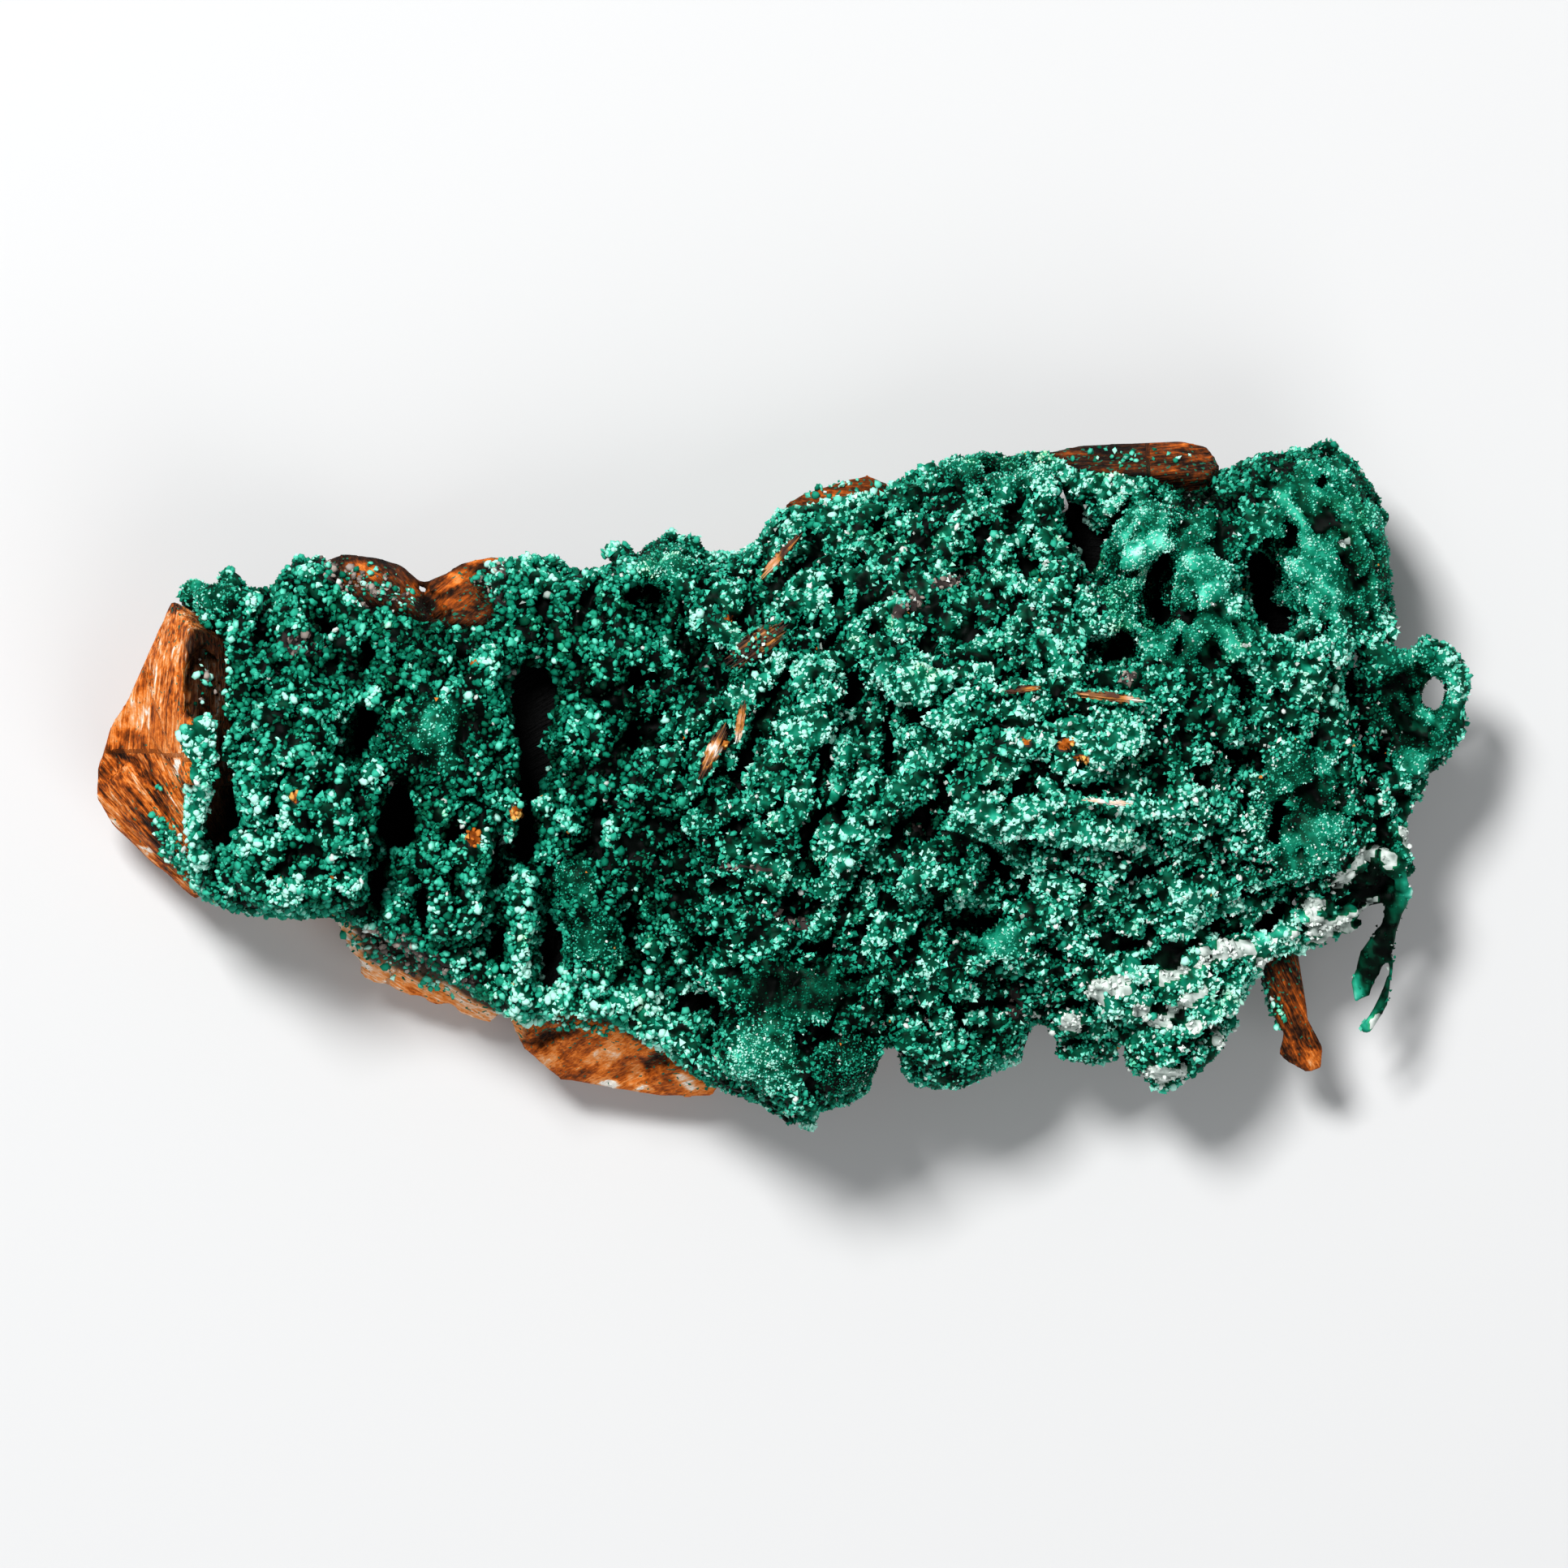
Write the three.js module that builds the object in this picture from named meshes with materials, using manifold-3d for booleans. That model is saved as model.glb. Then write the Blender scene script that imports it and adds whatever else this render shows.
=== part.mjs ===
// Malachite on barite: a mineral specimen 93 mm long, lying on the flat break of its barite matrix.
// Millimetres, +Z up, origin at the middle of the underside. The barite is rust-stained rock, joined
// from broken blocks. The malachite grew over it as one spongy crust, and small barite blades stick
// out of it.
import * as THREE from "three";
import { ConvexGeometry } from "three/addons/geometries/ConvexGeometry.js";
import { ImprovedNoise } from "three/addons/math/ImprovedNoise.js";
import { triTable } from "three/addons/objects/MarchingCubes.js";
import { mergeVertices } from "three/addons/utils/BufferGeometryUtils.js";
import Module from "manifold-3d";

const wasm = await Module();
wasm.setup();

// Driving sizes
const GAP = 0.4; // between the malachite and the rock or blades that it grew on
const CELL = 1.85; // size of the cubes that the crust's surface is traced through
const UNDERSIDE = 3.6; // height of the crust's lower edge above the surface it lies on
const RIM = 9.5; // height of the crust's upper face near its edge, before the swells
const EDGE_ROUNDING = 3;
const UNEVENNESS = { size: 7.5, depth: 1.5 }; // the crust's own lumps, in all directions
const RIDGES = { spacing: 4, length: 12, depth: 1.3 }; // drawn out along the crust's grain
const SWELLING = 0.2; // makes up for what rounding the steps off takes away
const EDGE_FADE = 3; // width of the band inside the outline where lumps and ridges fade out

// ---------------------------------------------------------------- solids

function solidOf(geometry) {
  const bare = geometry.clone();
  for (const name of Object.keys(bare.attributes)) {
    if (name !== "position") bare.deleteAttribute(name);
  }
  const merged = mergeVertices(bare, 1e-4);
  return new wasm.Manifold(
    new wasm.Mesh({
      numProp: 3,
      vertProperties: new Float32Array(merged.attributes.position.array),
      triVerts: new Uint32Array(merged.index.array),
    }),
  );
}

function geometryOf(solid) {
  const mesh = solid.getMesh();
  const geometry = new THREE.BufferGeometry();
  geometry.setAttribute("position", new THREE.BufferAttribute(mesh.vertProperties, 3));
  geometry.setIndex(new THREE.BufferAttribute(mesh.triVerts, 1));
  geometry.computeVertexNormals();
  return geometry;
}

// The convex block around a list of corners.
function block(corners) {
  return new ConvexGeometry(corners.map((c) => new THREE.Vector3(...c)));
}

// The same block with every side moved out by the gap.
function grown(geometry) {
  geometry.computeBoundingBox();
  const size = geometry.boundingBox.getSize(new THREE.Vector3());
  const centre = geometry.boundingBox.getCenter(new THREE.Vector3());
  return geometry
    .clone()
    .translate(-centre.x, -centre.y, -centre.z)
    .scale(1 + (2 * GAP) / size.x, 1 + (2 * GAP) / size.y, 1 + (2 * GAP) / size.z)
    .translate(centre.x, centre.y, centre.z);
}

function joined(geometries) {
  return geometries.map(solidOf).reduce((all, next) => all.add(next));
}

function largestBody(solid) {
  return solid.decompose().reduce((best, next) => (next.volume() > best.volume() ? next : best));
}

// ---------------------------------------------------------------- barite matrix

// Corners of the broken blocks of the rock, x, y, z. The three slabs lie on the surface.
const ROCK_BLOCKS = {
  leftSlab: [
    [-38, -5, 0], [-40, 4, 0], [-37, 9, 0], [-28, 11, 0], [-15, 10, 0], [-15, -12, 0], [-24, -10, 0],
    [-38.5, -6, 5], [-40, 6, 9], [-36, 10.5, 9], [-26, 12, 9], [-15, 12, 8.5], [-15, -13, 7.5],
    [-26, -9.5, 7.5],
  ],
  middleSlab: [
    [-20, -11, 0], [-6, -15, 0], [10, -15, 0], [19, -12, 0], [20, 12, 0], [8, 16, 0], [-4, 12, 0],
    [-20, 9, 0], [-20, -12.5, 7], [-8, -17, 6.5], [8, -16, 7], [20, -14, 7.5], [20, 17, 8], [8, 18, 8.5],
    [-3, 13.5, 8], [-20, 11, 8],
  ],
  rightSlab: [
    [16, -12, 0], [26, -12, 0], [34, -5, 0], [36, 6, 0], [33, 15, 0], [26, 18, 0], [16, 15, 0],
    [16, -14, 7], [28, -13.5, 6], [35.5, -7, 6.5], [38, 5, 6.5], [35, 17, 7], [27, 19.5, 7.5],
    [16, 18, 8],
  ],
  endUpper: [
    [-41.2, 12.4, 10], [-39.7, 10.4, 16], [-39.6, 4.6, 18.5], [-40, 0, 17.5], [-41.6, 2, 14.5],
    [-42.7, 6, 11.5], [-43.1, 7.6, 9.5], [-44.2, 5.7, 9.2], [-42.2, 10.2, 9], [-35, 9, 11],
    [-35, 0, 12], [-42.2, 8.5, 3], [-42.8, 3, 2.5], [-36, 9, 1.5], [-36, -1, 1.5], [-41.5, 0.5, 2],
  ],
  endLower: [
    [-45.3, 4.2, 8], [-46.3, 1.8, 7], [-46.5, -0.9, 6], [-45.4, -2.8, 5], [-42.9, -5.2, 5],
    [-39.8, -7.8, 6], [-40, -5, 10.5], [-40.1, 0.5, 14.5], [-41.8, 3.4, 13.2], [-44.2, 5.7, 9.4],
    [-35, -5, 8], [-35, 3, 11], [-44.8, 1.5, 1.5], [-43.6, -2.5, 0], [-40, -6, 0], [-36, -5, 0],
    [-36, 3, 0], [-43, 4, 1],
  ],
  humpLeft: [
    [-31.2, 15, 7], [-29.8, 15.6, 7.5], [-27.4, 15.3, 8.5], [-25.8, 14.8, 8], [-24.3, 13.5, 8.5],
    [-23.2, 11.2, 12], [-26, 12, 13], [-28.8, 12.8, 12.5], [-30.5, 13.6, 10.5], [-29, 8, 9], [-23, 8, 9],
    [-30, 12.5, 3], [-26, 13.2, 2.5], [-24, 12, 2.5], [-28, 8, 2],
  ],
  humpRight: [
    [-24.4, 13.5, 8.5], [-22.8, 13.8, 8.5], [-21.6, 15, 8], [-19.8, 15.4, 7.5], [-17.5, 15.1, 7.5],
    [-15, 14.2, 7], [-18, 12.6, 9.5], [-20.2, 10.8, 12.5], [-22.6, 11, 12.5], [-23, 8, 9], [-16, 9, 8.5],
    [-22.5, 12.5, 2.5], [-17, 13, 2.5], [-22, 9, 2], [-16, 10, 2],
  ],
  ledge: [
    [-30.2, -9.4, 6.4], [-29.4, -11, 5.8], [-28.4, -13.2, 4.6], [-25.2, -14.2, 4.2], [-22.6, -14.4, 4.4],
    [-20, -16.2, 3.8], [-18.6, -15.2, 5.5], [-18, -10, 8], [-25, -11.2, 7.4], [-30, -6, 7.6],
    [-28, -12, 1.5], [-25, -13, 1], [-20.5, -15, 0.8], [-18, -9, 0], [-29, -7, 0], [-18, -13, 0],
  ],
  lowerPlate: [
    [-18.6, -15.8, 7], [-17.7, -17.8, 5.5], [-15.1, -20, 4.5], [-12.2, -20.5, 4.2], [-8.2, -21.2, 4],
    [-4.7, -21.2, 4.4], [-4.4, -20.3, 5], [-7, -17.8, 9], [-10, -16, 10.5], [-14.5, -15, 11],
    [-17.5, -15.3, 9], [-15, -11, 9], [-6, -13, 9], [-16, -17.5, 1.5], [-12, -18.5, 0.8],
    [-6.5, -18.5, 1.5], [-15, -12, 0], [-6, -12, 0],
  ],
  topKnobs: [
    [0, 18.9, 8], [1.4, 19.7, 8.5], [3.6, 20.2, 8], [5.6, 20.9, 8.5], [7.1, 20.3, 8], [6, 18.4, 10.5],
    [2, 17.8, 10.5], [1, 14, 7], [8, 15, 7], [2, 17, 3.5], [6.5, 18, 3.5], [3, 14, 3], [7, 14, 3],
  ],
  topPlate: [
    [17.8, 22.4, 9], [20, 22.9, 8.5], [24.5, 22.6, 8.5], [26.8, 23.2, 8.5], [28.6, 22.8, 8.5],
    [29.4, 21.4, 9.5], [28.6, 20.6, 11.5], [26, 20.8, 12], [20, 21, 11.5], [20, 17, 7], [28, 17, 7],
    [20, 20.5, 4.5], [27.5, 20.5, 4], [20, 17, 3], [28, 17, 3],
  ],
  lowerLip: [
    [12.8, -19, 6], [16.2, -18.2, 6.5], [15.2, -15, 8.5], [12, -15, 8.5], [8, -13, 7], [18, -12, 7],
    [12.5, -17, 3], [15.5, -16.5, 3], [12, -12, 1], [16, -12, 1],
  ],
  tongueStem: [
    [32.2, -11.8, 9.4], [34.2, -12, 9], [35.3, -15.4, 8.4], [35, -17, 8], [33.4, -16.4, 8],
    [32.8, -14.2, 8.8], [32.2, -11.8, 6.6], [34.2, -12, 6.4], [35.3, -15.4, 6], [35, -17, 5.8],
    [33.4, -16.4, 5.8], [30, -7, 6.8], [34, -7, 6.8], [30, -7, 3], [34, -7, 3],
  ],
  tongueTip: [
    [33.8, -16.2, 8.2], [35.2, -15.6, 8.2], [36.4, -17.8, 7.4], [36.3, -19.3, 6.2], [35.2, -19.5, 6],
    [33.4, -18.4, 6.6], [34, -16.4, 5.6], [35.2, -15.8, 5.8], [36.2, -17.8, 5], [36, -19, 4.6],
    [33.8, -18.2, 5],
  ],
};

const STAINED_BARITE = new THREE.MeshStandardMaterial({ color: 0xb0632f, roughness: 0.7, metalness: 0 });

function bariteMatrix() {
  const mesh = new THREE.Mesh(geometryOf(joined(Object.values(ROCK_BLOCKS).map(block))), STAINED_BARITE);
  mesh.name = "barite_matrix";
  return mesh;
}

// ---------------------------------------------------------------- malachite crust

// The crust's outline from above, x, y, clockwise from the left end's upper corner.
const OUTLINE = [
  [-40.4, 12.4], [-40.2, 13.4], [-39.3, 13.9], [-38.3, 13.5], [-37.4, 14.2], [-36.3, 14], [-35.9, 12.4],
  [-33.6, 12.8], [-33.5, 14.9], [-32.4, 15.5], [-31.1, 15], [-29.4, 13.3], [-26.2, 12.4], [-23.6, 10.9],
  [-20.6, 10.7], [-19.4, 12.2], [-20, 14.4], [-18.4, 15.3], [-15, 14.8], [-12.4, 14.3], [-11.9, 15.7],
  [-10.7, 15.8], [-9.4, 15.4], [-8, 16.7], [-6.6, 16.2], [-5.2, 15.3], [-4.2, 15.6], [-3.5, 14.3],
  [-1.9, 15], [-1.2, 16.6], [-0.2, 18.8], [2, 19.3], [4.2, 19.6], [7.2, 20.2], [9.2, 21.4], [11.8, 22.3],
  [16.4, 22.7], [18.2, 22.2], [21, 21.6], [25, 21.2], [28, 20.7], [30, 21.1], [31.5, 22.4], [34.4, 22.7],
  [36.4, 23.5], [37.8, 22.7], [38.6, 21.2], [40.7, 19.4], [40.8, 15.4], [40.7, 12.8], [41.8, 10.5],
  [43, 10.1], [44.3, 10.6], [45.3, 9.6], [46.4, 8.8], [46.6, 6.4], [46.2, 4.2], [45.2, 2.2], [43.4, 0.2],
  [42.6, -2], [42.1, -4.6], [41, -6.4], [39.9, -9], [38.4, -10.8], [35.4, -11.4], [33.4, -11.8],
  [31.8, -12.8], [31, -13.8], [30.3, -16.6], [28.4, -18.6], [27.4, -20.1], [25.8, -20.5], [24.4, -19.8],
  [23.4, -18.7], [18.2, -18.4], [17.6, -16.4], [16.8, -16.4], [16, -18.3], [12.8, -19.4], [11.8, -20.9],
  [8.8, -19.9], [7, -17.6], [6.3, -18.6], [5.8, -20.7], [4.4, -21.5], [2.4, -21.4], [2, -23.6],
  [0.4, -22.9], [-2.2, -20.9], [-4.6, -20.2], [-7.6, -17.8], [-10.4, -16.7], [-14.6, -15.8],
  [-17.4, -16.7], [-18.9, -15.4], [-21.4, -13.2], [-24.2, -12.4], [-27.2, -10.6], [-28.6, -9],
  [-31.6, -8.6], [-34.4, -8.9], [-37, -8.5], [-39.4, -7.8], [-40.4, -5.6], [-39.9, 0], [-40.6, 2.8],
  [-39.9, 5.2], [-38.2, 5.8], [-38, 8.2], [-39.2, 10.2],
];

// Swells of the upper face above the rim: centre, half-widths and height.
const SWELLS = [
  { x: -34, y: 2, rx: 9, ry: 12, h: 8.5 },
  { x: -22, y: 0, rx: 8, ry: 11, h: 4.5 },
  { x: 5, y: 0, rx: 22, ry: 16, h: 14 },
  { x: 24, y: 4, rx: 12, ry: 15, h: 7 },
  { x: 36, y: 13, rx: 8, ry: 9, h: 4.5 },
  { x: 1, y: -18, rx: 6, ry: 5, h: 3.5 },
];

// Rounded lumps: centre x, y, depth of the centre below the swells, radius.
const LUMPS = [
  [-39, 12.2, -1, 1.6], [-37, 12.6, -1.5, 1.8], [-32.6, 14, 0, 1.6], [-33, 10, 1, 2.4],
  [-29, -2.6, 0.6, 2.6], [-33.6, -6, 0.8, 2.8], [-29.3, -7, 0.6, 2], [-37.5, 7, 1, 2],
  [-22.8, 3.2, 2.4, 3.6], [-12.8, -10.4, 0.6, 2.4], [-13.8, -6.6, 0.8, 2.4], [-12, -14, 0.8, 2],
  [-1.9, -17.2, 1.2, 3.2], [2.2, -14.6, 2, 3.6], [4, -18, 1.2, 2.8], [0.8, -21, 0, 1.8],
  [14.4, -10.6, 0.8, 2], [26, -18.4, 0.2, 2], [28.4, -16.4, 0.6, 2], [22.4, -14, 1, 2.2],
  [24.5, 15.5, 0.6, 3.4], [28.4, 12.5, 0.4, 3], [36, 20.5, 0.4, 2.4], [38.2, 16.5, 0.8, 2.4],
  [35.4, -4, 0.6, 3], [17, 19.4, 0.6, 2.6], [-7.6, 14.8, 0, 1.8], [-16, 12.5, 0.6, 2.2],
  [-5, 11.5, 1, 2.2], [9, 6, 0.6, 3],
];

// Stalks and curtains that stand out of the crust: x, y and depth at both ends, radius.
const STALKS = [
  [-25.2, -4.6, 0.4, -26, -8.8, 0.4, 1.1], [-22.6, -2, 0.2, -23, -9.4, 0.2, 1.2],
  [-20.4, -3.6, 0.2, -21.2, -9.6, 0.2, 1.1], [-18.6, -0.6, 0.2, -17.6, -5, 0.2, 1.1],
  [-17.2, -9, 0.2, -17.9, -14.6, 0.4, 1.4], [-36.2, 1, 0.2, -36.2, -4.8, 0.2, 1.2],
  [-39, 0, 0.4, -39.2, -5.4, 0.4, 1.2], [-34.6, 0.5, 0.2, -33, -4, 0.4, 1.1],
  [-19.4, 8.4, 0.2, -19.8, 3, 0.4, 1.1], [-11, 14.4, 0, -11.2, 8.6, 0.4, 1.4],
  [-6.6, 14.8, 0.2, -6, 10.6, 0.4, 1.2], [8, -12, 0, 11.2, -19, 0.4, 1.2],
  [10.6, -12, 0, 13.4, -17.6, 0.4, 1.2], [7, -13, 0.6, 8.6, -18.4, 0.8, 1.1],
  [30.4, 9, 0, 29.4, 17, 0.2, 1.6], [33.8, 18, 0.2, 36.8, 8.6, 0.2, 1.7],
  [-24, 9, 0.4, -24.2, 5.4, 0.6, 1.1], [-2, -10, 0, -4.6, -13.6, 0.4, 1.4], [-5, -4, 0, 2, 5, 0, 1.3],
  [3, -6, 0, 9, 1, 0, 1.3], [12, -2, 0, 22, -3.4, 0, 1.4], [14, 2.4, 0, 23, 2.6, 0, 1.3],
  [18.4, 9, 0, 18, 17, 0.2, 1.6], [41.8, 9.4, 0, 43, 1.4, 0.4, 1.2],
];

// The torn loop that hangs off the lower right corner: two strands that meet in a point, x, y, z, radius.
const LOOP_STRANDS = [
  [
    [40.6, -4.6, 9.4, 1.9], [41.6, -7.2, 8.8, 1.1], [40.8, -9.8, 8.2, 0.8], [40.5, -12.8, 7.6, 0.6],
    [40.2, -14.8, 7.2, 0.6], [39.3, -16.4, 7, 0.5],
  ],
  [[40.8, -9.8, 8.2, 0.8], [39.4, -11.6, 7.8, 0.8], [38.8, -13.4, 7.4, 0.6], [39.3, -16.4, 7, 0.5]],
];
const STRAND_DETAIL = 1; // of the spheres at the strands' corners

// The round window through the thin right end.
const WINDOW = { x: 43.9, y: 6.1, rx: 0.8, ry: 1.1, height: 30, corners: 10 };

// Deep holes: x, y at both ends, radius, and how far down from the upper face.
const HOLES = [
  [-17.2, 7.2, -16.8, 5, 1.9, 11], [-16.4, 2.6, -16, 0.2, 1.2, 9], [-28.2, 4, -28.4, 1.4, 1.4, 8],
  [-26.2, -1, -26.4, -3.6, 1.1, 8], [-27.4, -5, -27.4, -7.6, 1, 6], [-37.4, -1, -37.6, -4.2, 1, 5],
  [-27.8, 9, -27.9, 7, 1, 5], [-9.3, 13.6, -9, 11.4, 1.2, 7], [-9.9, 4.2, -9.8, 2.8, 1, 5],
  [-18.8, -4.8, -18.6, -6.6, 1.2, 7], [-16.2, -6.4, -16.2, -7.4, 1, 6], [-19.4, -10, -18.8, -12, 1.1, 5],
  [-15.5, -9.6, -15.6, -12.6, 1.1, 7], [-10, -8.8, -9.7, -12.4, 0.9, 5],
  [-7.6, -14.6, -6, -14.8, 1.1, 5], [1.6, -10.8, 4.4, -10.2, 1, 6], [11.6, -9.3, 14.4, -8.9, 0.9, 6],
  [13.9, -4.8, 15.6, -6.8, 1.1, 5], [19.6, 18.4, 20.9, 15, 1.3, 9], [21.8, 9.2, 23, 8.8, 1.2, 6],
  [25.4, 15, 25.8, 14.8, 1, 5], [25.2, 12.4, 24.8, 10.6, 1, 5], [31.9, 15.4, 33.7, 10.5, 1.3, 12],
  [31.5, 13.6, 31.8, 12.4, 1.2, 12], [38.4, 7.6, 39.2, 4, 1.4, 2.6], [40.8, 6.4, 40.6, 3.8, 1.4, 2.2],
  [31.2, 8, 31.2, 5.6, 1, 6], [29.4, 2.6, 30.6, 1.8, 1, 5], [33.2, -1.6, 33.3, -3.4, 1, 5],
  [2.8, 0.8, 4.2, 3.4, 1.1, 5], [6.9, 5, 7.2, 3, 1.1, 5], [4.9, 6.8, 5, 5.6, 0.9, 4],
  [31, -8.4, 33.6, -8.2, 1.1, 6], [-38.9, 8.8, -38.7, 6.6, 0.9, 7], [27.8, 20, 25.6, 19.4, 0.9, 6],
];
const HOLE_NARROWING = 0.35; // share of a hole's radius lost at its floor

// Small pits, scattered over the crust and drawn out along its grain.
const PITS = {
  count: 150,
  seed: 7,
  radius: [0.9, 1.4],
  stretch: [1.2, 2.4],
  depth: [1.6, 3.2],
  fromEdge: 1.6,
  x: [-40, 44],
  y: [-22, 23],
  turn: [-0.35, 0.35], // away from the grain
};

const noise = new ImprovedNoise();

function seededRandom(seed) {
  let state = seed;
  return () => {
    state = (state * 1664525 + 1013904223) % 4294967296;
    return state / 4294967296;
  };
}

function distanceToSegment(x, y, ax, ay, bx, by) {
  const [dx, dy] = [bx - ax, by - ay];
  const along = ((x - ax) * dx + (y - ay) * dy) / (dx * dx + dy * dy || 1);
  const t = Math.min(1, Math.max(0, along));
  return Math.hypot(x - ax - t * dx, y - ay - t * dy);
}

// Distance from the outline, positive inside it.
function insideOutline(x, y) {
  let [nearest, inside] = [Infinity, false];
  OUTLINE.forEach(([ax, ay], i) => {
    const [bx, by] = OUTLINE[(i + 1) % OUTLINE.length];
    nearest = Math.min(nearest, distanceToSegment(x, y, ax, ay, bx, by));
    if (ay > y !== by > y && x < ((bx - ax) * (y - ay)) / (by - ay) + ax) inside = !inside;
  });
  return inside ? nearest : -nearest;
}

// Height of the crust's upper face, before its lumps and holes.
function upperFace(x, y) {
  return SWELLS.reduce(
    (z, s) => z + s.h * Math.exp(-(((x - s.x) / s.rx) ** 2) - ((y - s.y) / s.ry) ** 2),
    RIM,
  );
}

// The crust's lower edge rises towards the right end, which hangs clear of the surface.
function lowerFace(x) {
  return UNDERSIDE + 3.4 * THREE.MathUtils.smoothstep(x, 28, 42);
}

// The directions of the crust's grain and how strongly each one shows at a place: upright on the left,
// slanting up to the right in the middle, nearly level low on the right, slanting down on the right wing.
function grain(x, y) {
  const { smoothstep } = THREE.MathUtils;
  const left = 1 - smoothstep(x, -16, -8);
  const wing = smoothstep(x, 26, 32) * smoothstep(y, -2, 6);
  const level = smoothstep(x, 6, 18) * (1 - smoothstep(y, 0, 9)) * (1 - wing);
  return [
    { angle: 1.55, weight: left },
    { angle: -1, weight: wing },
    { angle: 0.1, weight: level },
    { angle: 0.95, weight: Math.max(0, 1 - left - wing - level) },
  ];
}

function strongestGrain(x, y) {
  return grain(x, y).reduce((best, next) => (next.weight > best.weight ? next : best)).angle;
}

function relief(x, y, z) {
  const { size, depth } = UNEVENNESS;
  let height = depth * noise.noise(x / size, y / size, z / size);
  for (const { angle, weight } of grain(x, y)) {
    const along = (x * Math.cos(angle) + y * Math.sin(angle)) / RIDGES.length;
    const across = (y * Math.cos(angle) - x * Math.sin(angle)) / RIDGES.spacing;
    height += RIDGES.depth * weight * noise.noise(along + 20, 2 * across, z / RIDGES.spacing);
  }
  return height;
}

// Joins two fields with a fillet of the given width.
function smoothUnion(a, b, width) {
  const h = Math.max(width - Math.abs(a - b), 0) / width;
  return Math.min(a, b) - (h * h * width) / 4;
}

// The plain crust: the outline, between its lower and upper faces, with a round edge.
function slab(inside, x, y, z) {
  const [top, bottom] = [upperFace(x, y), lowerFace(x)];
  const [middle, half] = [(top + bottom) / 2, (top - bottom) / 2];
  const rounding = Math.min(EDGE_ROUNDING, half);
  const [out, up] = [rounding - inside, Math.abs(z - middle) - (half - rounding)];
  return Math.hypot(Math.max(out, 0), Math.max(up, 0)) + Math.min(Math.max(out, up), 0) - rounding;
}

function capsule(p, { line, radius }) {
  return line.closestPointToPoint(p, true, new THREE.Vector3()).distanceTo(p) - radius;
}

function pitDepth(x, y, z, { at, radius, stretch, depth, angle }) {
  const [dx, dy] = [x - at.x, y - at.y];
  const along = (dx * Math.cos(angle) + dy * Math.sin(angle)) / stretch;
  const across = dy * Math.cos(angle) - dx * Math.sin(angle);
  const down = ((z - at.z) * radius) / depth;
  return radius - Math.hypot(along, across, down);
}

function holeDepth(x, y, z, [ax, ay, bx, by, radius, depth]) {
  const down = upperFace(x, y) - z;
  const narrowing = HOLE_NARROWING * radius * THREE.MathUtils.smoothstep(down, 0, depth);
  return Math.min(radius - narrowing - distanceToSegment(x, y, ax, ay, bx, by), depth - down);
}

function onUpperFace(x, y, depth = 0) {
  return new THREE.Vector3(x, y, upperFace(x, y) - depth);
}

function scatteredPits() {
  const random = seededRandom(PITS.seed);
  const between = ([low, high]) => low + (high - low) * random();
  const pits = [];
  while (pits.length < PITS.count) {
    const [x, y] = [between(PITS.x), between(PITS.y)];
    const pit = {
      at: onUpperFace(x, y),
      radius: between(PITS.radius),
      stretch: between(PITS.stretch),
      depth: between(PITS.depth),
      angle: strongestGrain(x, y) + between(PITS.turn),
    };
    if (insideOutline(x, y) > PITS.fromEdge) pits.push(pit);
  }
  return pits;
}

// The crust's field: negative in the malachite, positive outside, in millimetres near the surface.
function crustField() {
  const pits = scatteredPits();
  const lumps = LUMPS.map(([x, y, depth, radius]) => ({ centre: onUpperFace(x, y, depth), radius }));
  const stalks = STALKS.map(([ax, ay, ad, bx, by, bd, radius]) => ({
    line: new THREE.Line3(onUpperFace(ax, ay, ad), onUpperFace(bx, by, bd)),
    radius,
  }));
  return (x, y, z, inside) => {
    const p = new THREE.Vector3(x, y, z);
    const fade = THREE.MathUtils.smoothstep(inside, -EDGE_FADE, EDGE_FADE);
    let d = slab(inside, x, y, z) + fade * relief(x, y, z) - SWELLING;
    for (const pit of pits) d = -smoothUnion(-d, -pitDepth(x, y, z, pit), 0.5);
    for (const lump of lumps) d = smoothUnion(d, p.distanceTo(lump.centre) - lump.radius, 0.8);
    for (const stalk of stalks) d = smoothUnion(d, capsule(p, stalk), 0.6);
    for (const hole of HOLES) d = Math.max(d, holeDepth(x, y, z, hole));
    return d;
  };
}

// Corners and edges of a marching cube, in the order of the table's bits.
const CUBE_CORNERS = [
  [0, 0, 0], [1, 0, 0], [1, 1, 0], [0, 1, 0], [0, 0, 1], [1, 0, 1], [1, 1, 1], [0, 1, 1],
];
const CUBE_EDGES = [
  [0, 1], [1, 2], [2, 3], [3, 0], [4, 5], [5, 6], [6, 7], [7, 4], [0, 4], [1, 5], [2, 6], [3, 7],
];
const NEAREST_CROSSING = 0.1; // of an edge: keeps new corners apart
const RELAXING = 0.45;

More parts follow.
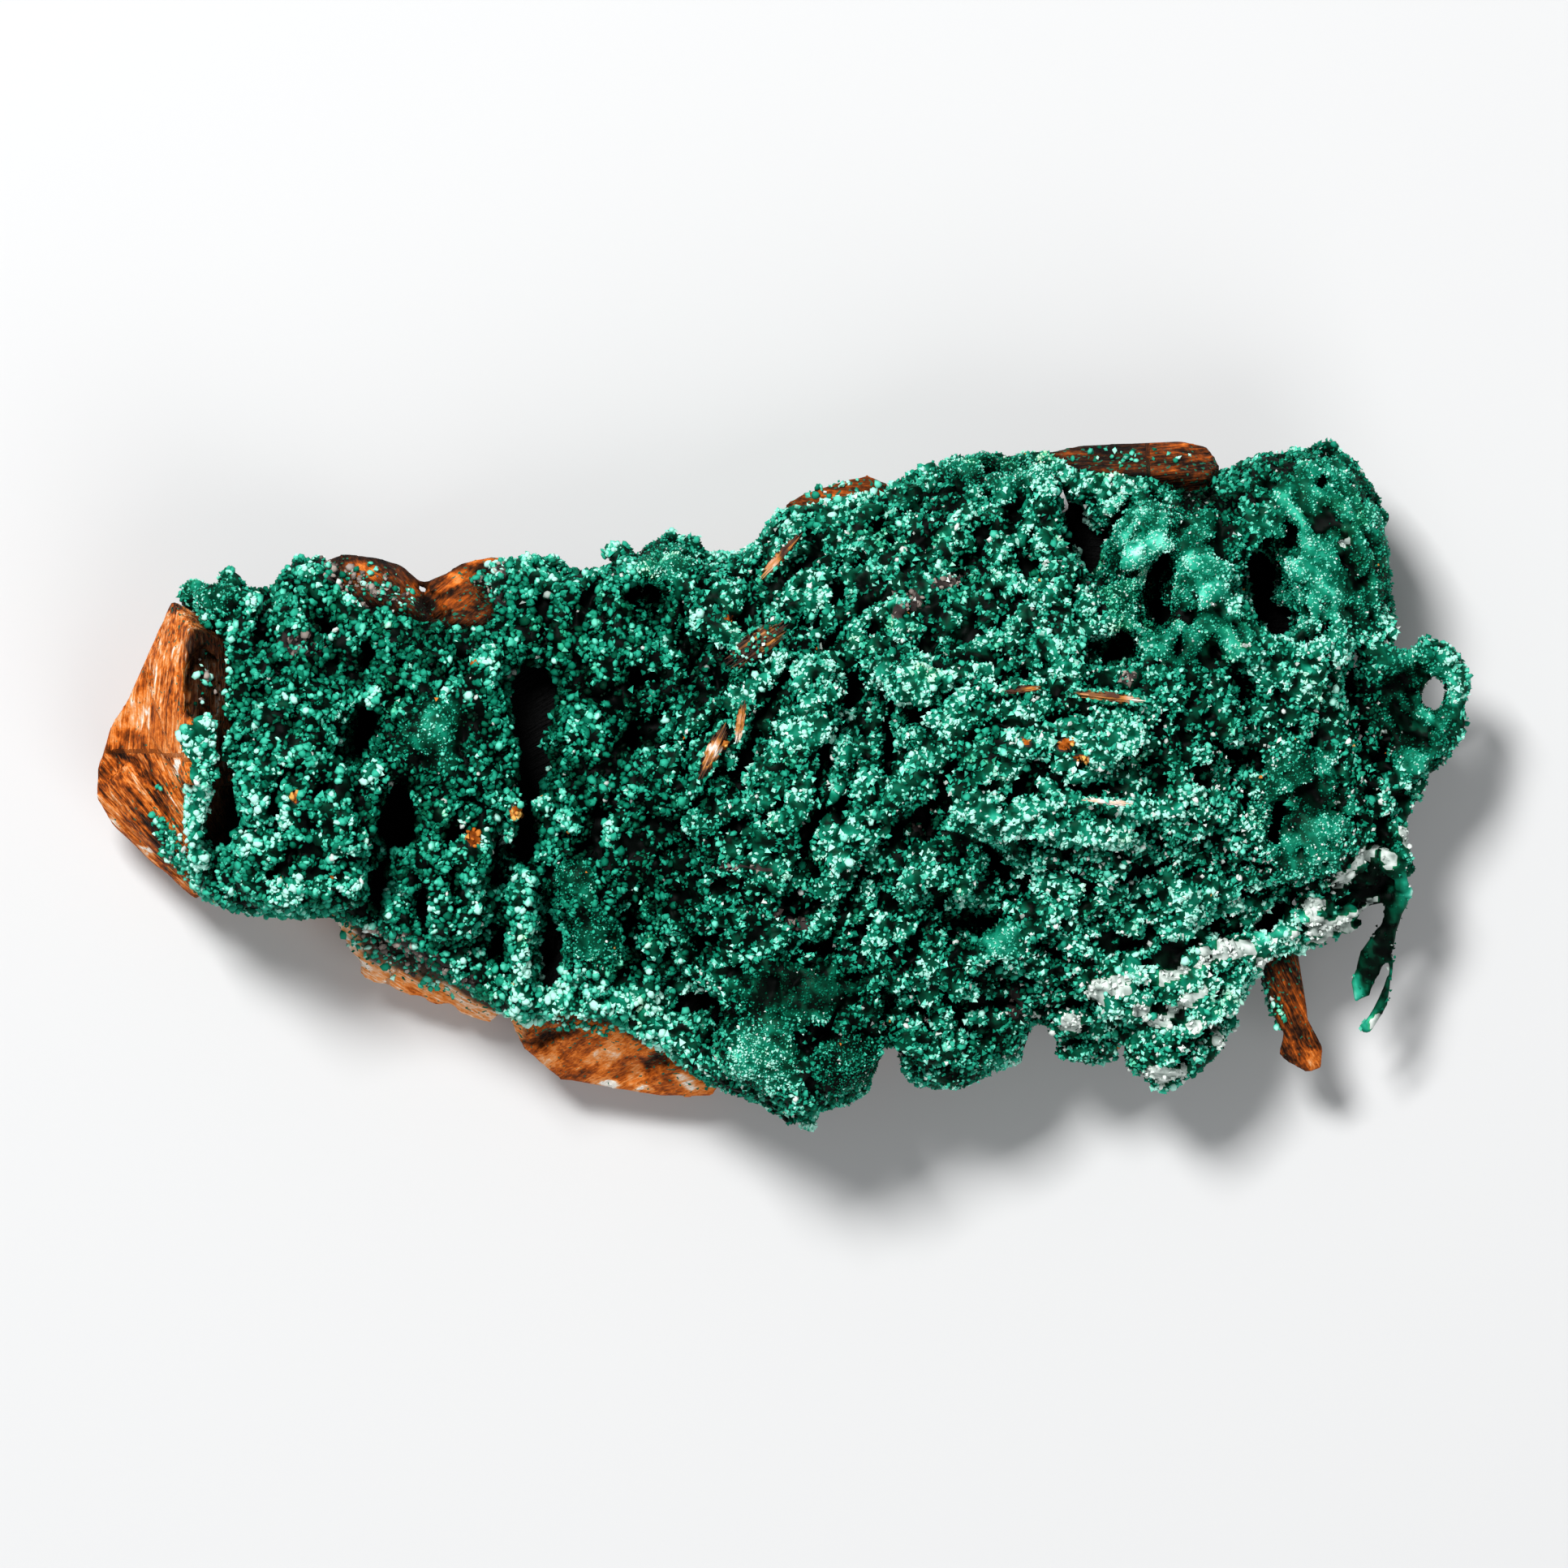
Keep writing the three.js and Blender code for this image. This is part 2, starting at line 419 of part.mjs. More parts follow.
// Traces the surface where a field, sampled on a grid of cubes, crosses zero.
function tracedSurface(sample, counts, low, step) {
  const [nx, ny, nz] = counts;
  const index = (i, j, k) => i + nx * (j + ny * k);
  const values = new Float32Array(nx * ny * nz);
  for (let k = 0; k < nz; k++) {
    for (let j = 0; j < ny; j++) {
      for (let i = 0; i < nx; i++) values[index(i, j, k)] = sample(i, j, k);
    }
  }
  const positions = [];
  const triangles = [];
  const corners = new Map();
  const cornerOn = (i, j, k, edge) => {
    const [from, to] = CUBE_EDGES[edge].map((c) => {
      const [ci, cj, ck] = CUBE_CORNERS[c];
      return [i + ci, j + cj, k + ck];
    });
    const [a, b] = [index(...from), index(...to)];
    const key = `${Math.min(a, b)}:${Math.max(a, b)}`;
    if (!corners.has(key)) {
      const crossing = values[a] / (values[a] - values[b]);
      const t = THREE.MathUtils.clamp(crossing, NEAREST_CROSSING, 1 - NEAREST_CROSSING);
      corners.set(key, positions.length / 3);
      for (let axis = 0; axis < 3; axis++) {
        positions.push(low[axis] + step * (from[axis] + t * (to[axis] - from[axis])));
      }
    }
    return corners.get(key);
  };
  for (let k = 0; k < nz - 1; k++) {
    for (let j = 0; j < ny - 1; j++) {
      for (let i = 0; i < nx - 1; i++) {
        const code = CUBE_CORNERS.reduce(
          (bits, [ci, cj, ck], c) => bits | (values[index(i + ci, j + cj, k + ck)] > 0 ? 1 << c : 0),
          0,
        );
        for (let t = 16 * code; triTable[t] !== -1; t += 3) {
          triangles.push(...[0, 1, 2].map((n) => cornerOn(i, j, k, triTable[t + n])));
        }
      }
    }
  }
  const geometry = new THREE.BufferGeometry();
  geometry.setAttribute("position", new THREE.Float32BufferAttribute(positions, 3));
  geometry.setIndex(triangles);
  return geometry;
}

// Moves each corner part of the way to the middle of its neighbours, which rounds the cubes' steps off.
function relaxed(geometry, share) {
  const from = geometry.attributes.position;
  const neighbours = Array.from({ length: from.count }, () => new Set());
  const index = geometry.index.array;
  for (let t = 0; t < index.length; t += 3) {
    for (let n = 0; n < 3; n++) {
      neighbours[index[t + n]].add(index[t + ((n + 1) % 3)]);
      neighbours[index[t + n]].add(index[t + ((n + 2) % 3)]);
    }
  }
  const corners = cornersOf(geometry);
  const moved = corners.map((corner, i) => {
    const middle = [...neighbours[i]].reduce((sum, n) => sum.add(corners[n]), new THREE.Vector3());
    return corner.clone().lerp(middle.divideScalar(neighbours[i].size), share);
  });
  return new THREE.BufferGeometry().setFromPoints(moved).setIndex(geometry.index);
}

// The box that the crust is traced in.
const TRACED_LOW = [-43.5, -26, 0];
const TRACED_HIGH = [49, 26, 32];

function crustSolid() {
  const [low, high] = [TRACED_LOW, TRACED_HIGH];
  const counts = low.map((from, axis) => Math.ceil((high[axis] - from) / CELL) + 1);
  const field = crustField();
  const columns = new Map();
  const sample = (i, j, k) => {
    const [x, y, z] = [i, j, k].map((n, axis) => low[axis] + n * CELL);
    const key = i + counts[0] * j;
    if (!columns.has(key)) columns.set(key, insideOutline(x, y));
    return field(x, y, z, columns.get(key));
  };
  return solidOf(relaxed(tracedSurface(sample, counts, low, CELL), RELAXING));
}

function ball([x, y, z, radius]) {
  return new THREE.IcosahedronGeometry(radius, STRAND_DETAIL).translate(x, y, z);
}

function cornersOf(geometry) {
  const { position } = geometry.attributes;
  const cornerAt = (_, i) => new THREE.Vector3().fromBufferAttribute(position, i);
  return Array.from({ length: position.count }, cornerAt);
}

// A tapered round limb between two corners of a strand.
function limb(from, to) {
  return new ConvexGeometry([ball(from), ball(to)].flatMap(cornersOf));
}

function loopLimbs() {
  return LOOP_STRANDS.flatMap((strand) => strand.slice(1).map((corner, i) => limb(strand[i], corner)));
}

function windowCutter() {
  return new THREE.CylinderGeometry(1, 1, WINDOW.height, WINDOW.corners)
    .rotateX(Math.PI / 2)
    .scale(WINDOW.rx, WINDOW.ry, 1)
    .translate(WINDOW.x, WINDOW.y, WINDOW.height / 2);
}

const MALACHITE = new THREE.MeshStandardMaterial({ color: 0x1f7a5a, roughness: 0.6, metalness: 0 });

function malachiteCrust(blades) {
  const bed = joined([...Object.values(ROCK_BLOCKS).map(block), ...blades].map(grown));
  const crust = crustSolid().add(joined(loopLimbs())).subtract(solidOf(windowCutter())).subtract(bed);
  const mesh = new THREE.Mesh(geometryOf(largestBody(crust)), MALACHITE);
  mesh.name = "malachite_crust";
  return mesh;
}

// ---------------------------------------------------------------- barite blades

const PALE_BARITE = new THREE.MeshStandardMaterial({ color: 0xd9d2c4, roughness: 0.5, metalness: 0 });

// Flat blades that stick out of the crust: middle, length, width and turn from above, how far the
// middle lies above the upper face, and the slope along the blade.
const BLADES = {
  barite_blade_upper: { x: -0.2, y: 15.3, length: 4.6, width: 1.1, turn: 0.86, above: 0.3, slope: -0.15 },
  barite_blade_lens: { x: -1.8, y: 9.3, length: 5, width: 2, turn: 0.62, above: 0.2, slope: 0 },
  barite_blade_left: { x: -4.7, y: 2.2, length: 4.4, width: 1.2, turn: 1.15, above: 0.2, slope: 0.05 },
  barite_blade_left_thin: { x: -2.9, y: 4.1, length: 3.2, width: 0.9, turn: 1.45, above: 0.4, slope: 0.1 },
  barite_blade_right: { x: 21.6, y: 5.8, length: 5.4, width: 1.1, turn: -0.08, above: 0.5, slope: 0.02 },
  barite_blade_middle: { x: 15.9, y: 6.3, length: 2.8, width: 0.9, turn: 0.15, above: 0.3, slope: 0 },
  barite_blade_white: { x: 21.6, y: -1.2, length: 3.6, width: 0.7, turn: -0.08, above: 0.5, slope: 0 },
};
const BLADE_THICKNESS = 1.1;
const PALE_BLADES = ["barite_blade_white"];

// A blade with pointed ends and a bevelled upper face.
function blade({ x, y, length, width, turn, above, slope }) {
  const [l, w, t] = [length / 2, width / 2, BLADE_THICKNESS / 2];
  const corners = [
    [-l, 0, 0], [l, 0, 0], [-0.6 * l, w, 0], [0.5 * l, w, 0], [-0.5 * l, -w, 0], [0.6 * l, -w, 0],
    [-0.7 * l, 0, t], [0.7 * l, 0.2 * w, t], [-0.2 * l, 0.5 * w, t], [0.3 * l, -0.5 * w, t],
    [-0.6 * l, 0, -t], [0.6 * l, 0, -t],
  ];
  return block(corners)
    .rotateY(-slope)
    .rotateZ(turn)
    .translate(x, y, upperFace(x, y) + above);
}

function bariteBlade([name, shape]) {
  const mesh = new THREE.Mesh(blade(shape), PALE_BLADES.includes(name) ? PALE_BARITE : STAINED_BARITE);
  mesh.name = name;
  return mesh;
}

// ---------------------------------------------------------------- specimen

const specimen = new THREE.Group();
specimen.add(bariteMatrix());
specimen.add(malachiteCrust(Object.values(BLADES).map(blade)));
specimen.add(...Object.entries(BLADES).map(bariteBlade));

// Brings the middle of the whole specimen over the origin.
const middle = new THREE.Box3().setFromObject(specimen).getCenter(new THREE.Vector3());
specimen.position.set(-middle.x, -middle.y, 0);

export default specimen;
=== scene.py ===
"""Malachite on barite: a hand specimen lying on the flat cut of its barite matrix.

Lengths in the fields are millimetres, and every mesh is made in metres.
"""

import math

import bmesh
import bpy
import numpy as np
import openvdb as vdb
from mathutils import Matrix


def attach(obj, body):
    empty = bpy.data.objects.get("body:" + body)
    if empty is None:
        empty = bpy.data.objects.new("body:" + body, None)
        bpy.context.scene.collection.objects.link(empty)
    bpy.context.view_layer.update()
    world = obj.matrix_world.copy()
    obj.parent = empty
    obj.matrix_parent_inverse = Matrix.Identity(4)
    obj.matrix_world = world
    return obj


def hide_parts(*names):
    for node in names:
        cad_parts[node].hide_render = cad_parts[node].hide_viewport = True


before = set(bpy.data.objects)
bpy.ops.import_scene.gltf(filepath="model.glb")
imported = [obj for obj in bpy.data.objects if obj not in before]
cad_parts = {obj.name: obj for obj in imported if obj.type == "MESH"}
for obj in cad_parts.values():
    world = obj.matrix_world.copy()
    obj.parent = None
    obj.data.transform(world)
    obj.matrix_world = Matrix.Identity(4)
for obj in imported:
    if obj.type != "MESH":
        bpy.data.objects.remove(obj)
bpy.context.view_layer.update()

# ---------------------------------------------------------------- view
# The camera looks straight down on the malachite face, with the orange end on the left. A long lens
# keeps the outline free of perspective.

MM = 0.001
LENS, SENSOR = 400.0, 36.0
VIEW_WIDTH, VIEW_HEIGHT = 105.4, 12.0  # millimetres across the picture, at this height above the floor

camera_data = bpy.data.cameras.new("camera")
camera_data.lens, camera_data.sensor_width = LENS, SENSOR
camera_data.clip_start, camera_data.clip_end = 0.01, 10.0
camera = bpy.data.objects.new("camera", camera_data)
camera.location = (0.1 * MM, -0.12 * MM, (VIEW_WIDTH * LENS / SENSOR + VIEW_HEIGHT) * MM)
bpy.context.scene.collection.objects.link(camera)
bpy.context.scene.camera = camera
bpy.context.scene.view_settings.view_transform = "Standard"

# ---------------------------------------------------------------- floor and light
# A plain pale floor, a large soft lamp at the upper left, a weaker one opposite, and a pale sky.


class Nodes:
    """Adds nodes to one material."""

    def __init__(self, material):
        material.use_nodes = True
        self.tree = material.node_tree
        self.shader = self.tree.nodes["Principled BSDF"]

    def node(self, kind, settings=None, sockets=None, out=0):
        """A node of this kind: its settings first, then the values or links of its sockets."""
        made = self.tree.nodes.new(kind)
        for name, value in (settings or {}).items():
            if name == "stops":
                ramp = made.color_ramp
                while len(ramp.elements) < len(value):
                    ramp.elements.new(1.0)
                for element, (place, colour) in zip(ramp.elements, value):
                    element.position, element.color = place, (*colour, 1.0)
            else:
                setattr(made, name, value)
        for name, value in (sockets or {}).items():
            self.put(made.inputs[name], value)
        return Value(self, made.outputs[out])

    def put(self, socket, value):
        if isinstance(value, Value):
            self.tree.links.new(value.socket, socket)
        else:
            socket.default_value = value

    def feed(self, **sockets):
        for name, value in sockets.items():
            self.put(self.shader.inputs[name.replace("_", " ")], value)

    def ramp(self, factor, *stops):
        return self.node("ShaderNodeValToRGB", {"stops": stops}, {"Fac": factor})

    def mix(self, factor, a, b, blend="MIX"):
        settings = {"data_type": "RGBA", "blend_type": blend}
        sockets = {0: factor, 6: a, 7: b}
        return self.node("ShaderNodeMix", settings, sockets, out=2)

    def step(self, value, low, high):
        settings = {"interpolation_type": "SMOOTHSTEP"}
        return self.node("ShaderNodeMapRange", settings, {"Value": value, 1: low, 2: high})

    def attribute(self, name, out="Fac"):
        return self.node("ShaderNodeAttribute", {"attribute_name": name}, out=out)


class Value:
    """Wraps an output socket, so that node maths is written as an expression."""

    def __init__(self, nodes, socket):
        self.nodes, self.socket = nodes, socket

    def maths(self, operation, a, b):
        return self.nodes.node("ShaderNodeMath", {"operation": operation}, {0: a, 1: b})

    def __add__(self, other):
        return self.maths("ADD", self, other)

    def __sub__(self, other):
        return self.maths("SUBTRACT", self, other)

    def __mul__(self, other):
        return self.maths("MULTIPLY", self, other)

    def __rmul__(self, other):
        return self.maths("MULTIPLY", other, self)


def new_material(name):
    material = bpy.data.materials.new(name)
    return material, Nodes(material)


FLOOR_SIZE = 3.0
LAMPS = (  # name, place in metres, width, watts
    ("key", (-0.24, 0.38, 0.74), 0.22, 9.8),
    ("fill", (0.3, -0.5, 0.6), 0.6, 2.6),
)

floor_mesh = bpy.data.meshes.new("floor")
bm = bmesh.new()
bmesh.ops.create_grid(bm, x_segments=1, y_segments=1, size=FLOOR_SIZE / 2)
bm.to_mesh(floor_mesh)
bm.free()
floor = bpy.data.objects.new("floor", floor_mesh)
bpy.context.scene.collection.objects.link(floor)
floor_material, nodes = new_material("floor")
nodes.feed(Base_Color=(0.6, 0.6, 0.6, 1.0), Roughness=0.8)
floor_mesh.materials.append(floor_material)

for name, place, width, watts in LAMPS:
    lamp_data = bpy.data.lights.new(name, "AREA")
    lamp_data.size, lamp_data.energy = width, watts
    lamp = bpy.data.objects.new(name, lamp_data)
    lamp.location = place
    lamp.rotation_euler = lamp.location.to_track_quat("Z", "Y").to_euler()
    bpy.context.scene.collection.objects.link(lamp)
world = bpy.data.worlds.new("world")
world.use_nodes = True
world.node_tree.nodes["Background"].inputs["Color"].default_value = (0.9, 0.95, 1.0, 1.0)
world.node_tree.nodes["Background"].inputs["Strength"].default_value = 0.22
bpy.context.scene.world = world

# ---------------------------------------------------------------- barite matrix
# The rock under the crust: barite that broke along its cleavage and was stained by rust. Its faces
# carry fibrous striations, and its underside is cut flat.

# The rock and the crust are grown and broken, with no flat or turned surface on them. Each is shaped as
# a field of distances around its plain solid, which noise eats into, and is then made a mesh again.

VOXEL = 0.3
BAND = 12  # voxels on each side of a surface where its distance is known
GRID = vdb.createLinearTransform(voxelSize=VOXEL)
FLOAT = np.float32


class Field:
    """Distances in millimetres on a grid, negative inside, and where the grid's corner lies."""

    def __init__(self, values, corner):
        self.values, self.corner = values, np.array(corner)

    def places(self, chosen):
        """The points, in millimetres, of the chosen voxels."""
        return ((np.argwhere(chosen) + self.corner) * VOXEL).astype(FLOAT)

    def at(self, points, values=None):
        """The field, or another grid of its size, at any points."""
        values = self.values if values is None else values
        cells = points / VOXEL - self.corner
        limit = np.array(values.shape) - 1.001
        cells = np.clip(cells, 0.0, limit)
        low = cells.astype(int)
        part = cells - low
        total = np.zeros(len(points))
        for corner in np.ndindex(2, 2, 2):
            weight = np.prod(np.where(corner, part, 1.0 - part), axis=1)
            total += weight * values[tuple((low + corner).T)]
        return total


def arrays_of(bm):
    """The corners and the faces of a bmesh, which is then freed."""
    bm.verts.index_update()
    corners = np.array([v.co for v in bm.verts])
    faces = np.array([[v.index for v in f.verts] for f in bm.faces])
    bm.free()
    return corners, faces


def field_of(node, pad=4):
    """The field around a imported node."""
    bm = bmesh.new()
    bm.from_mesh(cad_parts[node].data)
    bmesh.ops.remove_doubles(bm, verts=bm.verts, dist=1e-6)
    corners, faces = arrays_of(bm)
    grid = vdb.FloatGrid.createLevelSetFromPolygons(
        corners.astype(FLOAT) / MM, triangles=faces.astype(np.uint32), transform=GRID, halfWidth=BAND
    )
    low, high = (np.array(c) for c in grid.evalActiveVoxelBoundingBox())
    low, high = low - pad, high + pad
    values = np.full(high - low + 1, BAND * VOXEL, FLOAT)
    grid.copyToArray(values, ijk=tuple(int(c) for c in low))
    return Field(values, low)


def moved(values, reach, axis):
    """The grid moved along an axis by each number of voxels from reach to -reach."""
    padded = np.pad(values, [(reach, reach) if a == axis else (0, 0) for a in range(3)], "edge")
    for first in range(2 * reach + 1):
        yield np.take(padded, range(first, first + values.shape[axis]), axis=axis)


def blurred(values, width):
    """The grid smoothed by a bell of this many voxels along each axis."""
    reach = int(3 * width)
    bell = np.exp(-0.5 * (np.arange(-reach, reach + 1) / width) ** 2)
    bell /= bell.sum()
    for axis in range(3):
        values = sum(share * grid for share, grid in zip(bell, moved(values, reach, axis)))
    return values.astype(FLOAT)


def highest_nearby(values, reach):
    """The highest value of the grid within this many voxels along each axis."""
    for axis in range(3):
        highest = values
        for grid in moved(values, reach, axis):
            highest = np.maximum(highest, grid)
        values = highest
    return values


def column_share(field, inside, width, points):
    """How much of the field's columns around points is inside, blurred by this many voxels."""
    share = np.repeat(blurred(inside[:, :, None].astype(FLOAT), width), 2, axis=2)
    lowest = np.full((len(points), 1), field.corner[2] * VOXEL)
    return field.at(np.concatenate([points[:, :2], lowest], axis=1), share)


NOISE_CELLS = 32  # along each side of the block that repeats
NOISE_SCALE = 1.7


def noise(points, seed):
    """Smooth noise between about -1 and 1, with one swell to a unit of the points."""
    slopes = np.random.default_rng(seed).normal(size=(NOISE_CELLS,) * 3 + (3,)).astype(FLOAT)
    slopes /= np.linalg.norm(slopes, axis=-1, keepdims=True)
    points = points.astype(FLOAT)
    low = np.floor(points).astype(int)
    part = points - low
    fade = part**3 * (part * (part * 6.0 - 15.0) + 10.0)
    total = np.zeros(len(points), FLOAT)
    for corner in np.ndindex(2, 2, 2):
        offset = np.array(corner, FLOAT)
        weight = np.prod(np.where(corner, fade, 1.0 - fade), axis=1)
        cell = tuple(((low + corner) % NOISE_CELLS).T)
        total += weight * np.einsum("ij,ij->i", slopes[cell], part - offset)
    return NOISE_SCALE * total


def smooth_step(value, low, high):
    """0 below the low value and 1 above the high one, with a soft way between."""
    t = np.clip((value - low) / (high - low), 0.0, 1.0)
    return t * t * (3.0 - 2.0 * t)


def polygons_of(field):
    """The field's surface as points in millimetres and faces of three or four corners."""
    grid = vdb.FloatGrid(float(BAND * VOXEL))
    grid.transform = GRID
    grid.gridClass = vdb.GridClass.LEVEL_SET
    grid.copyFromArray(field.values, ijk=tuple(int(c) for c in field.corner))
    points, triangles, quads = grid.convertToPolygons(isovalue=0.0, adaptivity=0.0)
    return points.astype(float), [triangles[:, ::-1], quads[:, ::-1]]


def new_piece(name, points, faces, material, node, smooth=True, attributes=None, palette=None):
    """A piece of the scene from points in millimetres and lists of faces of equal size."""
    mesh = bpy.data.meshes.new(name)
    faces = [f for f in faces if len(f)]
    sizes = np.concatenate([np.full(len(f), f.shape[1]) for f in faces])
    mesh.vertices.add(len(points))
    mesh.vertices.foreach_set("co", (points * MM).astype(FLOAT).ravel())
    mesh.loops.add(int(sizes.sum()))
    mesh.loops.foreach_set("vertex_index", np.concatenate([f.ravel() for f in faces]).astype(np.int32))
    mesh.polygons.add(len(sizes))
    mesh.polygons.foreach_set("loop_start", (np.cumsum(sizes) - sizes).astype(np.int32))
    mesh.update(calc_edges=True)
    mesh.polygons.foreach_set("use_smooth", np.full(len(sizes), smooth))
    for title, values in (attributes or {}).items():
        if values.ndim == 1:
            layer = mesh.attributes.new(title, "FLOAT", "POINT")
            layer.data.foreach_set("value", values.astype(FLOAT))
        else:
            layer = mesh.attributes.new(title, "FLOAT_VECTOR", "POINT")
            layer.data.foreach_set("vector", values.astype(FLOAT).ravel())
    if palette is not None:
        corners = np.concatenate([f.ravel() for f in faces])
        layer = mesh.uv_layers.new(name="OFBake")
        layer.data.foreach_set("uv", palette[corners].astype(FLOAT).ravel())
    mesh.materials.append(material)
    piece = bpy.data.objects.new(name, mesh)
    bpy.context.scene.collection.objects.link(piece)
    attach(piece, "root")
    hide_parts(node)
    return piece


# Each plate: its middle, the point its fibres fan out from, how bright its stain is, from 0 for black
# to 1 for white, and how strongly its fibres show.
PLATES = (
    ((-41.2, 6.5), (-38.5, 60.0), 0.6, 0.8),
    ((-43.7, 5.6), (-38.5, 60.0), 0.54, 0.5),
    ((-43.9, -1.6), (-34.0, -12.0), 0.48, 0.75),
    ((-28.0, 13.0), (-60.0, 60.0), 0.14, 0.3),
    ((-20.5, 12.0), (-60.0, -20.0), 0.17, 0.3),
    ((-29.0, -10.5), (-60.0, 8.0), 0.8, 0.5),
    ((-23.0, -14.5), (-60.0, 8.0), 0.76, 0.5),
    ((-11.5, -18.5), (-50.0, -45.0), 0.51, 0.35),
    ((3.5, 20.0), (-60.0, 20.0), 0.3, 0.4),
    ((21.5, 22.0), (-60.0, 23.0), 0.17, 0.4),
    ((27.5, 22.0), (-60.0, 10.0), 0.22, 0.5),
    ((34.0, -17.0), (20.0, 14.0), 0.24, 0.5),
)
# Spots where the stain is brighter or darker: middle, half length, half width, turn, change.
STAINS = (
    # the left end: the pale facet, the dark crease, the white flake, the lower lobe and its fringe
    (-43.2, 5.0, 1.7, 0.8, 1.1, 0.12), (-43.1, 6.8, 1.8, 0.14, 1.45, -0.12),
    (-43.6, 2.8, 1.7, 0.7, -0.5, -0.12), (-42.6, 4.4, 1.0, 0.2, -1.3, 0.3),
    (-44.7, 2.0, 1.4, 0.4, -0.4, -0.24), (-43.0, 0.7, 1.8, 0.4, -0.75, -0.22),
    (-41.8, -1.5, 1.6, 0.35, -1.05, -0.2), (-40.6, 1.0, 0.8, 0.22, 1.35, 0.6),
    (-45.1, -1.2, 1.5, 1.0, -0.6, 0.08), (-43.2, -4.4, 1.0, 0.18, -0.65, 0.5),
    (-44.8, -2.9, 0.6, 0.25, -0.6, 0.3), (-42.3, -5.5, 1.5, 0.3, -0.7, 0.12),
    (-42.5, -2.6, 2.0, 0.35, -0.9, -0.2), (-41.6, -4.4, 1.6, 0.5, -0.8, -0.25),
    (-41.2, 11.8, 0.8, 0.5, 0.0, -0.3), (-44.3, 3.4, 1.2, 0.7, -0.2, -0.06),
    (-41.3, 0.6, 0.7, 0.4, -1.0, 0.15), (-43.8, -0.9, 1.0, 0.25, -0.9, -0.15),
    (-40.6, -1.6, 1.4, 0.3, -1.2, 0.15), (-40.2, 10.4, 0.6, 1.0, 0.0, -0.1),
    # the two humps at the top
    (-28.3, 14.3, 1.3, 0.6, -0.2, 0.24), (-29.6, 13.4, 0.9, 0.4, 0.5, 0.1),
    (-25.2, 13.4, 2.0, 0.4, -0.8, 0.1), (-21.4, 13.8, 0.9, 0.6, 0.3, 0.26),
    (-22.6, 13.3, 1.3, 0.4, 0.5, 0.2), (-21.8, 12.1, 1.5, 0.6, 0.1, 0.2),
    (-19.9, 13.2, 0.5, 1.0, 0.5, -0.15), (-19.5, 15.0, 2.5, 0.3, 0.0, 0.3),
    (-24.0, 12.0, 0.8, 0.6, 0.0, -0.15),
    # the plate at the lower edge
    (-16.5, -17.4, 1.3, 0.5, 0.5, -0.22), (-18.4, -17.2, 1.0, 0.4, -1.0, 0.3),
    (-15.5, -18.7, 2.0, 0.7, 0.6, 0.1), (-14.5, -16.6, 1.4, 0.7, 0.3, -0.2),
    (-13.8, -16.4, 0.4, 0.3, 0.0, 0.3), (-12.2, -16.9, 0.9, 0.5, 0.3, 0.12),
    (-12.0, -18.5, 1.4, 0.8, 0.6, 0.2), (-14.2, -17.8, 1.6, 0.4, 0.7, -0.15),
    (-10.0, -19.6, 0.9, 0.6, 0.5, 0.2), (-8.6, -18.9, 1.4, 0.6, 0.5, -0.25),
    (-8.3, -18.0, 0.9, 0.3, -0.5, 0.2), (-6.6, -20.1, 1.1, 0.5, -0.6, 0.28),
    (-11.7, -20.5, 0.8, 0.35, -0.1, 0.5), (-9.4, -20.8, 0.8, 0.3, -0.2, 0.25),
    (-7.6, -19.7, 0.9, 0.5, 0.7, -0.15), (-13.0, -19.4, 1.5, 0.35, 0.6, -0.12),
    # the tongue at the lower right
    (36.2, -18.7, 1.1, 0.9, 0.0, 0.26), (33.0, -17.5, 2.2, 0.5, -0.9, -0.16),
)
# Steps, creases and hollows in the rock: middle, half length, half width, turn, depth.
ROCK_CUTS = (
    (-44.9, 6.6, 4.2, 1.0, 1.05, 9.0), (-46.8, 2.4, 1.3, 1.1, 1.6, 9.0), (-44.5, 4.6, 4.6, 1.7, 1.25, 0.5),
    (-44.6, 1.9, 1.3, 0.3, -0.4, 0.5), (-43.0, 0.7, 1.8, 0.3, -0.75, 0.5),
    (-41.9, -1.4, 1.5, 0.25, -1.05, 0.4), (-38.9, 6.4, 2.7, 1.2, 1.55, 1.2),
    (-8.4, -18.9, 2.0, 0.5, 0.55, 0.4), (-16.0, -17.3, 1.8, 0.4, 0.5, 0.4),
    (-23.9, 12.2, 2.0, 0.7, -0.8, 0.5), (-20.0, 13.0, 0.6, 1.2, 0.4, 0.4),
    (-29.3, -12.2, 0.8, 0.7, 0.0, 9.0), (-26.7, -14.5, 1.0, 0.95, 0.0, 9.0),
    (-24.6, -15.0, 0.5, 0.75, 0.0, 9.0), (-22.6, -15.9, 1.0, 0.9, -0.6, 9.0),
)

ROCK_SHELL = (-2.6, 0.8)  # distances from the solid's surface between which it is shaped
CUT_THROUGH = 3.0  # cuts deeper than this go through the rock's edge, the others only into its top
# The fibres' strands and threads: swells to a millimetre along, across and up.
STRANDS, THREADS = (0.16, 0.9, 0.35), (0.3, 2.2, 0.8)
# How deep the fibres' strands and threads, the rock's lumps and the lumps of its humps are.
STRAND_DEPTH, THREAD_DEPTH, LUMP_DEPTH, HUMP_DEPTH = 0.45, 0.2, 0.3, 0.3
SMOOTH_BELOW, ROUGH_ABOVE = 0.6, 2.0  # heights over the saw cut
HUMPS_ABOVE, HUMPS_RIGHT, HUMPS_LEFT = 9.5, -16.0, -34.0

rock = field_of("barite_matrix")
crust = field_of("malachite_crust")


